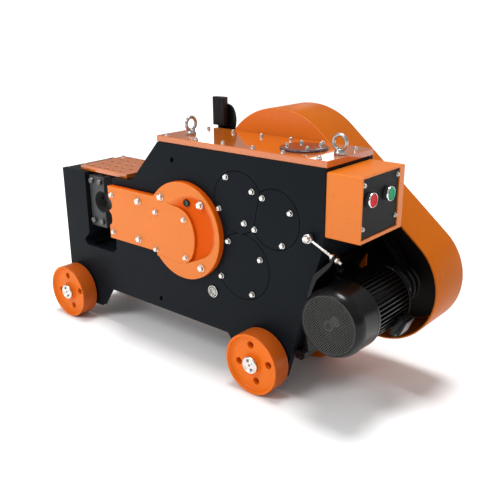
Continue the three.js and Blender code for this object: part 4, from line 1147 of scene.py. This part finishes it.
def belt_hull(a, b, n1=96, n2=72, grow=0.0):
    d = math.hypot(b[0] - a[0], b[1] - a[1])
    di = math.atan2(b[1] - a[1], b[0] - a[0])
    r1, r2_ = a[2] + grow, b[2] + grow
    t = math.acos((r1 - r2_) / d)
    return arc(a[:2], r1, di + t, di + TAU - t, n1) + arc(b[:2], r2_, di - t, di + t, n2)


def guard_shell(bm):
    """Band with a lip at the front and a radius at the back, then the back sheet."""
    # a row's third number picks the material of the faces leading up to it: 1 is the near-black painted shade inside
    # the guard, which the inside face of the back sheet also gets
    rows = [(0.0, 195.4, 0), (0.0, 334.0, 0), (-1.2, 337.6, 0), (-3.6, 339.6, 0), (-7.0, 340.0, 0), (-9.0, 335.6, 1), (-4.4, 333.4, 1), (-3.4, 330.0, 1), (-3.4, 203.5, 0), (-3.4, 195.4, 0)]
    loops = []
    for g, y, m in rows:
        loops.append(([bm.verts.new(W(p[0], y, p[1])) for p in belt_hull(G1, G2, grow=g)], m))
    n = len(loops[0][0])
    for k in range(len(loops)):
        a, b = loops[k][0], loops[(k + 1) % len(loops)][0]
        if k == 4 or k == 5:
            continue
        for i in range(n):
            j = (i + 1) % n
            bm.faces.new((a[i], a[j], b[j], b[i])).material_index = loops[(k + 1) % len(loops)][1]
    bm.faces.new(loops[4][0]).material_index = 0
    bm.faces.new(loops[5][0]).material_index = 1


shell = solid_piece("guard_shell", ["orange_guard", "guard_inside_shade"], "housing", guard_shell, replaces="belt_guard_shell", slot="orange_paint", angle=28)


def clip_x(poly, lim):
    out = []
    m = len(poly)
    for i in range(m):
        p, q = poly[i], poly[(i + 1) % m]
        if p[0] <= lim:
            out.append(p)
        if (p[0] - lim) * (q[0] - lim) < 0:
            t = (lim - p[0]) / (q[0] - p[0])
            out.append((lim, p[1] + t * (q[1] - p[1])))
    return out


def guard_front(bm):
    hull = ccw(clip_x(belt_hull(G1, G2), 518.8))
    edge = [i for i, p in enumerate(hull) if abs(p[0] - 518.8) < 1e-6]
    i = next(k for k in edge if (k + 1) % len(hull) in edge)
    if hull[i][1] < 325 and hull[(i + 1) % len(hull)][1] > 440:
        hull = hull[: i + 1] + [(518.8, 331), (488, 282), (488, 430), (518.8, 430)] + hull[i + 1:]
    prism(bm, hull, 191.5, 194.9, "y", [ring_pts(INPUT, 46, 48), ring_pts(CRANK, 50, 48)], r=0.6)


solid_piece("guard_front_sheet", "orange", "housing", guard_front, replaces="belt_guard_front", slot="orange_paint", weighted=True)

# ------------------------------------------------------------------------------------------------ flywheel, pulleys, belts
FLY_R, MP_R, BELT_Y = 152.0, 47.0, (236, 258)


def grooves(r, y, d):
    return [(r, y - 9), (r - d, y - 4.5), (r - d, y + 4.5), (r, y + 9)]


def flywheel(bm):
    prof = [(20.4, 208), (42, 208), (42, 240), (124, 240), (124, 214), (FLY_R, 214)]
    for y in BELT_Y:
        prof += grooves(FLY_R, y, 11)
    prof += [(FLY_R, 280), (124, 280), (124, 254), (42, 254), (42, 286), (20.4, 286)]
    lathe(bm, round_prof(prof, 1.2, 2), about_y(INPUT), 96)


fw = raw(flywheel, ("iron",))
combine(fw, [raw((lambda k: (lambda bm: lathe(bm, [(0, 236), (22, 236), (22, 258), (0, 258)], about_y((INPUT[0] + 82 * math.cos(TAU * k / 5), INPUT[1] + 82 * math.sin(TAU * k / 5))), 36, closed=False)))(k), ("iron",)) for k in range(5)])
adopt(fw, "flywheel", "flywheel", "flywheel_pulley", "cast_iron", bevel=0.0)


def motor_pulley(bm):
    prof = [(12.4, 222), (MP_R, 222)]
    for y in BELT_Y:
        prof += grooves(MP_R, y, 11)
    prof += [(MP_R, 272), (12.4, 272)]
    lathe(bm, round_prof(prof, 0.8, 2), about_y(MOTOR), 72)


solid_piece("pulley_motor", "iron", "rotor", motor_pulley, replaces="motor_pulley", slot="cast_iron")
b1, b2 = (*INPUT, FLY_R - 9.5), (*MOTOR, MP_R - 9.5)
for i, y in enumerate(BELT_Y):
    def belt(bm, y=y):
        inner, outer = belt_hull(b1, b2, 96, 48), belt_hull(b1, b2, 96, 48, 8)
        n = len(inner)
        rows = [[bm.verts.new(W(p[0], yy, p[1])) for p in pts] for pts, yy in ((inner, y - 2.9), (inner, y + 2.9), (outer, y + 4), (outer, y - 4))]
        for k in range(4):
            a, b = rows[k], rows[(k + 1) % 4]
            for q in range(n):
                bm.faces.new((a[q], a[(q + 1) % n], b[(q + 1) % n], b[q]))

    solid_piece(f"belt_{i + 1}", "rubber", "housing", belt, replaces=("v_belt_inner", "v_belt_outer")[i], slot="rubber")

# ------------------------------------------------------------------------------------------------ motor
COWL_R, CY0, CY1 = 79.5, -60, 25


def fan_cowl(bm):
    outer = [(66.5, CY0 + 1.4), (69, CY0), (71.5, CY0 + 2.6), (74.6, CY0 + 7.5), (77.2, CY0 + 13.5), (78.9, CY0 + 20), (79.5, CY0 + 26), (79.5, CY0 + 27.4), (78.9, CY0 + 28.2), (78.9, CY1 - 9), (79.5, CY1 - 7), (79.5, CY1)]
    inner = [(77.2, CY1), (77.2, CY0 + 27), (75.5, CY0 + 17), (72, CY0 + 9), (69.5, CY0 + 5), (66.5, CY0 + 4.4)]
    lathe(bm, round_prof(outer + inner, 1.4, 3), about_y(MOTOR), 112)


solid_piece("cowl_shell", "black", "motor", fan_cowl, replaces="fan_cowl", slot="black_paint")


def grille(bm):
    """Wire mesh of two crossing sets of flat bars, a centre disc and an edge ring."""
    R, pitch, w = 67.5, 4.7, 1.35
    for ang, y0 in ((math.radians(45), CY0 + 1.6), (math.radians(-45), CY0 + 2.5)):
        c, s = math.cos(ang), math.sin(ang)
        k = -R + pitch / 2
        while k < R:
            h = math.sqrt(max(0, R * R - k * k)) - 0.4
            if h > 4:
                corners = [(-h, k - w / 2), (h, k - w / 2), (h, k + w / 2), (-h, k + w / 2)]
                prism(bm, [(MOTOR[0] + a * c - b * s, MOTOR[1] + a * s + b * c) for a, b in corners], y0, y0 + 0.9, "y")
            k += pitch
    lathe(bm, [(8.5, CY0 + 0.9), (12.0, CY0 + 0.9), (12.0, CY0 + 3.2), (8.5, CY0 + 3.2)], about_y(MOTOR), 40)
    lathe(bm, [(65.5, CY0 + 1.3), (68, CY0 + 1.3), (68, CY0 + 3.6), (65.5, CY0 + 3.6)], about_y(MOTOR), 96)


solid_piece("cowl_mesh", "grille", "motor", grille, slot="black_paint")
bolts("screws_cowl", "motor", [(MOTOR[0] + 78.0 * math.cos(a), CY1 - 14, MOTOR[1] + 78.0 * math.sin(a)) for a in ()], (0, -1, 0)) if False else None

LEAN = math.atan2(203, 56)
U = (math.cos(LEAN), math.sin(LEAN))
N = (math.sin(LEAN), -math.cos(LEAN))


def at_motor(n, u):
    return (MOTOR[0] + N[0] * n + U[0] * u, MOTOR[1] + N[1] * n + U[1] * u)


def leaning(bm, n0, n1, u0, u1, y0, y1, r=0.0):
    pts = [at_motor(n0, u0), at_motor(n1, u0), at_motor(n1, u1), at_motor(n0, u1)]
    prism(bm, fillet(pts, r, 4) if r else pts, y0, y1, "y", r=0.9)


BOX_A = math.radians(-28)


def at_box(n, t):
    return (MOTOR[0] + n * math.cos(BOX_A) - t * math.sin(BOX_A), MOTOR[1] + n * math.sin(BOX_A) + t * math.cos(BOX_A))


def motor_body(bm):
    FINS = 46
    pts = []
    for i in range(FINS):
        a = TAU * i / FINS + 0.03
        w = TAU / FINS
        for r, k in ((66.5, -0.30), (67.5, -0.20), (75.2, -0.13), (75.4, 0.13), (67.5, 0.20), (66.5, 0.30)):
            pts.append((MOTOR[0] + r * math.cos(a + k * w), MOTOR[1] + r * math.sin(a + k * w)))
    prism(bm, pts, 27, 158, "y", [ring_pts(MOTOR, 40, 48)], r=0.5, seg=2)
    lathe(bm, round_prof([(55, 20), (72.5, 20), (72.5, 30), (55, 30)], 1.0, 2), about_y(MOTOR), 72)
    for u0, u1 in ((40, 76), (-76, -40)):
        for y0, y1 in ((50, 76), (118, 144)):
            leaning(bm, -83.6, -72, u0, u1, y0, y1)
    leaning(bm, -83.6, -45, 38, 50, 50, 144)
    leaning(bm, -83.6, -45, -50, -38, 50, 144)
    prism(bm, [at_box(60, -25), at_box(75.7, -25), at_box(75.7, 14), at_box(60, 14)], 119, 147, "y", r=1.0)


solid_piece("motor_frame", "black", "motor", motor_body, replaces="motor_body", slot="black_paint", weighted=True, angle=40)


def end_shield(bm):
    lathe(bm, round_prof([(12.6, 160), (60, 158.8), (77.8, 158.8), (77.8, 166), (62, 176), (36, 181.5), (34, 188), (12.6, 188)], [0, 0, 1.2, 1.5, 3, 3, 1, 0.5], 3), about_y(MOTOR), 96)


solid_piece("motor_shield", "black", "motor", end_shield, replaces="motor_end_shield", slot="black_paint")
bolts("bolts_motor_shield", "motor", [(MOTOR[0] + 70 * math.cos(a), 170, MOTOR[1] + 70 * math.sin(a)) for a in (0.4, 1.97, 3.54, 5.11)], (0, 1, 0), af=8, h=5, washer=11)


def terminal(bm):
    prism(bm, fillet([at_box(76.1, -32), at_box(89, -31), at_box(89, 20), at_box(76.1, 20)], 2, 3), 114.2, 151.8, "y", r=1.2)
    prism(bm, fillet([at_box(89.6, -31), at_box(91.6, -30.5), at_box(91.6, 20), at_box(89.6, 20)], 0.6, 2), 114.8, 151.2, "y", r=0.4)
    prism(bm, fillet([at_box(92.2, -30.5), at_box(99.8, -18.5), at_box(97.6, 19.6), at_box(92.2, 20)], 2.4, 3), 114.2, 151.8, "y", r=1.2)


solid_piece("motor_terminal_box", "black", "motor", terminal, replaces="terminal_box", slot="black_paint", weighted=True)


def gland(bm):
    p = at_box(83, -31.5)
    put = frame_place((p[0], 133, p[1]), (math.sin(BOX_A), 0, -math.cos(BOX_A)))
    lathe(bm, round_prof([(0, 0), (9, 0), (9, 3.5), (7, 4.2), (8, 5), (8, 10), (5.4, 13.5), (3.4, 13.5), (3.4, 8), (0, 8)], 0.6, 2, closed=False), put, 32, closed=False)


solid_piece("motor_gland", "plastic", "motor", gland, slot="black_plastic", weighted=True)
bolts("bolts_motor_feet", "motor", [(*[at_motor(-72, u)[0]], y, at_motor(-72, u)[1]) for u in (62, -62) for y in (63, 131)], (N[0], 0, N[1]), mat="black", slot="black_paint", af=13, h=7, washer=18)

# ------------------------------------------------------------------------------------------------ tilting base and tensioner
HINGE = (465, 113)
PIV, T_ANGLE, T_Y = (489, 415), -0.43, -11


def tpt(s, t, y=0.0):
    c, sn = math.cos(T_ANGLE), math.sin(T_ANGLE)
    return (PIV[0] + c * s - sn * t, T_Y + y, PIV[1] + sn * s + c * t)


for node in ("motor_base", "base_hinge_bracket"):
    ob = NODES[node]
    ob.data.materials.clear()
    ob.data.materials.append(M["black"])
    b = ob.modifiers.new("edge", "BEVEL")
    b.width, b.segments, b.limit_method = 0.0007, 2, "ANGLE"


def pivot_bolt(bm):
    hex_bolt(bm, (PIV[0], T_Y - 6.0, PIV[1]), (0, -1, 0), af=15, h=7.5, washer=0, spin=0.2)
    lathe(bm, [(0, T_Y - 6.5), (6.2, T_Y - 6.5), (6.2, 26), (0, 26)], about_y(PIV), 32, closed=False)


solid_piece("tension_pivot", "zinc", "housing", pivot_bolt, replaces="tension_pivot_bolt", slot="zinc_plate")


def eyebolt_rod(bm):
    lathe(bm, round_prof([(6.8, T_Y - 5.6), (11, T_Y - 5.6), (11, T_Y + 5.6), (6.8, T_Y + 5.6)], 1.4, 3), about_y(PIV), 48)
    put = frame_place(tpt(0, 0), (math.cos(T_ANGLE), 0, math.sin(T_ANGLE)))
    prof = [(0, 9.4), (2.8, 9.4), (2.8, 46)]
    s = 46.0
    while s < 94:
        prof += [(3.4, s + 0.35), (3.4, s + 0.75), (2.95, s + 1.1), (2.95, s + 1.45)]
        s += 1.5
    prof += [(3.3, 94.8), (2.6, 96), (0, 96)]
    lathe(bm, prof, put, 24, closed=False)


solid_piece("tension_rod", "zinc", "tension_bolt", eyebolt_rod, replaces="tension_eyebolt", slot="zinc_plate")


def tension_nut(name, node, s0, s1):
    def build(bm):
        put = frame_place(tpt(0, 0), (math.cos(T_ANGLE), 0, math.sin(T_ANGLE)))
        n, r = 6, 7.0
        rows = []
        for rad, s in ((4.0, s0), (r * 0.86, s0), (r, s0 + 1), (r, s1 - 1), (r * 0.86, s1), (4.0, s1)):
            m = 24
            row = []
            for i in range(m):
                t = TAU * i / m
                k = (t + math.pi / 6) % (math.pi / 3) - math.pi / 6
                rr = min(rad, r * math.cos(math.pi / 6) / math.cos(k)) if rad > 4.5 else rad
                row.append(bm.verts.new(put(rr * math.cos(t), rr * math.sin(t), s)))
            rows.append(row)
        for a in range(len(rows)):
            p, q = rows[a], rows[(a + 1) % len(rows)]
            for i in range(24):
                bm.faces.new((p[i], p[(i + 1) % 24], q[(i + 1) % 24], q[i]))

    solid_piece(name, "zinc", "tension_nuts", build, replaces=node, slot="zinc_plate", angle=20)


tension_nut("nut_inner", "tension_nut_inner", 66.5, 72.7)
tension_nut("nut_outer", "tension_nut_outer", 80.3, 86.5)

# ------------------------------------------------------------------------------------------------ wheels
WW = 51.0


def wheel(name, x, y, back, a0):
    """Pressed wheel: rolled rim, dished disc with four holes, hub tube."""
    prof = [
        (13.6, 3), (23.5, 3), (25, 7), (27, 11.5), (63, 12.5), (69, 8.5), (72.6, 2.4), (74.4, 0.3), (77.2, 0.2), (79, 2.2),
        (79, WW - 2.2), (77.2, WW - 0.2), (74.4, WW - 0.3), (72.6, WW - 2.4), (69, 41), (63, 37.5), (27, 37.5), (25, 42), (24, WW - 3), (13.6, WW - 3),
    ]
    rad = [0.4, 1.0, 2.0, 3, 6, 6, 2, 0.7, 0.8, 1.2, 1.2, 0.8, 0.7, 2, 6, 6, 3, 2, 1, 0.4]

    def build(bm):
        lathe(bm, round_prof(prof, rad, 3), lambda u, v, a: W(x + u, y + ((WW - a) if back else a), 79 + v), 112)

    ob = raw(build)
    cutters = []
    for k in range(4):
        t = a0 + TAU * k / 4
        cutters.append(raw((lambda t: (lambda bm: lathe(bm, [(0, y - 5), (10.4, y - 5), (10.4, y + 11.4), (9.6, y + 12.4), (9, y + 13.6), (9, y + WW - 14.6), (9.6, y + WW - 13.2), (10.4, y + WW - 12.4), (10.4, y + WW + 5), (0, y + WW + 5)], about_y((x + 47 * math.cos(t), 79 + 47 * math.sin(t))), 36, closed=False)))(t)))
    combine(ob, cutters)
    return ob


for nm, x, y, back, a0 in (("front_left", WHEEL_X[0], -57.5, False, 0.19), ("front_right", WHEEL_X[1], -57.5, False, 0.19), ("rear_left", WHEEL_X[0], 197.5, True, 1.0), ("rear_right", WHEEL_X[1], 197.5, True, 0.7)):
    ob = wheel(nm, x, y, back, a0)
    adopt(ob, f"rim_{nm}", f"wheel_{nm}", f"wheel_{nm}", "orange_paint", bevel=0.0, angle=35)
    me = bpy.data.objects[f"rim_{nm}"].data
    me.materials[0] = M["orange_wheel"]
    me.materials.append(M["orange_tread"])
    hub = W(x, 0, 79)
    for f in me.polygons:
        if math.hypot(f.center.x - hub.x, f.center.z - hub.z) > 0.0779:
            f.material_index = 1


def axle(name, x, node):
    def build(bm):
        lathe(bm, round_prof([(0, -61.6), (9.5, -61.6), (10.5, -60.4), (15.5, -60.4), (16.5, -61.8), (20.5, -61.8), (22.3, -60), (22.3, -56.4), (13, -56.4), (13, 247.4), (22.3, 247.4), (22.3, 251.2), (20.5, 252.8), (9, 252.8), (7, 253.2), (0, 253.2)], 0.6, 2, closed=False), about_y((x, 79)), 56, closed=False)

    solid_piece(name, "zinc", "housing", build, replaces=node, slot="zinc_plate")

    def screws(bm):
        for dx, dz in ((-5.5, 10.5), (0.5, 0.8), (5.0, -10.0)):
            lathe(bm, [(0, -62.3), (2.6, -62.3), (3.1, -61.8), (3.1, -59.6), (0, -59.6)], about_y((x + dx, 79 + dz)), 20, closed=False)

    solid_piece(name + "_screws", "tool", "housing", screws, slot="zinc_plate")


axle("axle_bar_left", WHEEL_X[0], "axle_left")
axle("axle_bar_right", WHEEL_X[1], "axle_right")

# ------------------------------------------------------------------------------------------------ hand lever
LEVER = (34, 556)


def grip(bm):
    ribs = 9
    x0, x1 = 14.0, 54.0
    pts = []
    step = (x1 - x0) / ribs
    for i in range(ribs):
        a = x0 + i * step
        pts += [(a + step * 0.12, 199.6), (a + step * 0.3, 198.1), (a + step * 0.7, 198.1), (a + step * 0.88, 199.6)]
    front = pts
    rear = [(54 - (p[0] - 14), 217.4 - (p[1] - 198.1)) for p in front]
    outline = [(14.0, 202)] + front + [(54.0, 202), (54.0, 213.5)] + rear + [(14.0, 213.5)]
    prism(bm, outline, 592.2, 667.8, "z", r=1.2)


solid_piece("lever_grip_ribbed", "grip", "lever", grip, replaces="lever_grip", slot="rubber", weighted=True, angle=50)
for node in ("hand_lever",):
    ob = NODES[node]
    ob.data.materials.clear()
    ob.data.materials.append(M["black"])
    b = ob.modifiers.new("edge", "BEVEL")
    b.width, b.segments, b.limit_method = 0.0007, 2, "ANGLE"


def quadrant(bm):
    prism(bm, fillet([(10, 520), (54, 520), (60, 550), (60, 584), (10, 584)], 4, 4), 191.5, 196.6, "y")
    lathe(bm, [(0, 195), (9, 195), (9, 222), (0, 222)], about_y(LEVER), 40, closed=False)
    prism(bm, smooth_closed([(22, 540), (50, 540), (66, 560), (75, 590), (77, 612), (72, 632), (62, 644), (50, 648), (42, 646), (42, 600), (22, 580)], 3), 219.5, 225, "y")


solid_piece("lever_sector", "black", "housing", quadrant, replaces="lever_quadrant", slot="black_paint", bevel=0.0)
bolts("bolts_lever_sector", "housing", [(18, 196.6, 530), (48, 196.6, 530)], (0, 1, 0), af=8, h=4, washer=11)
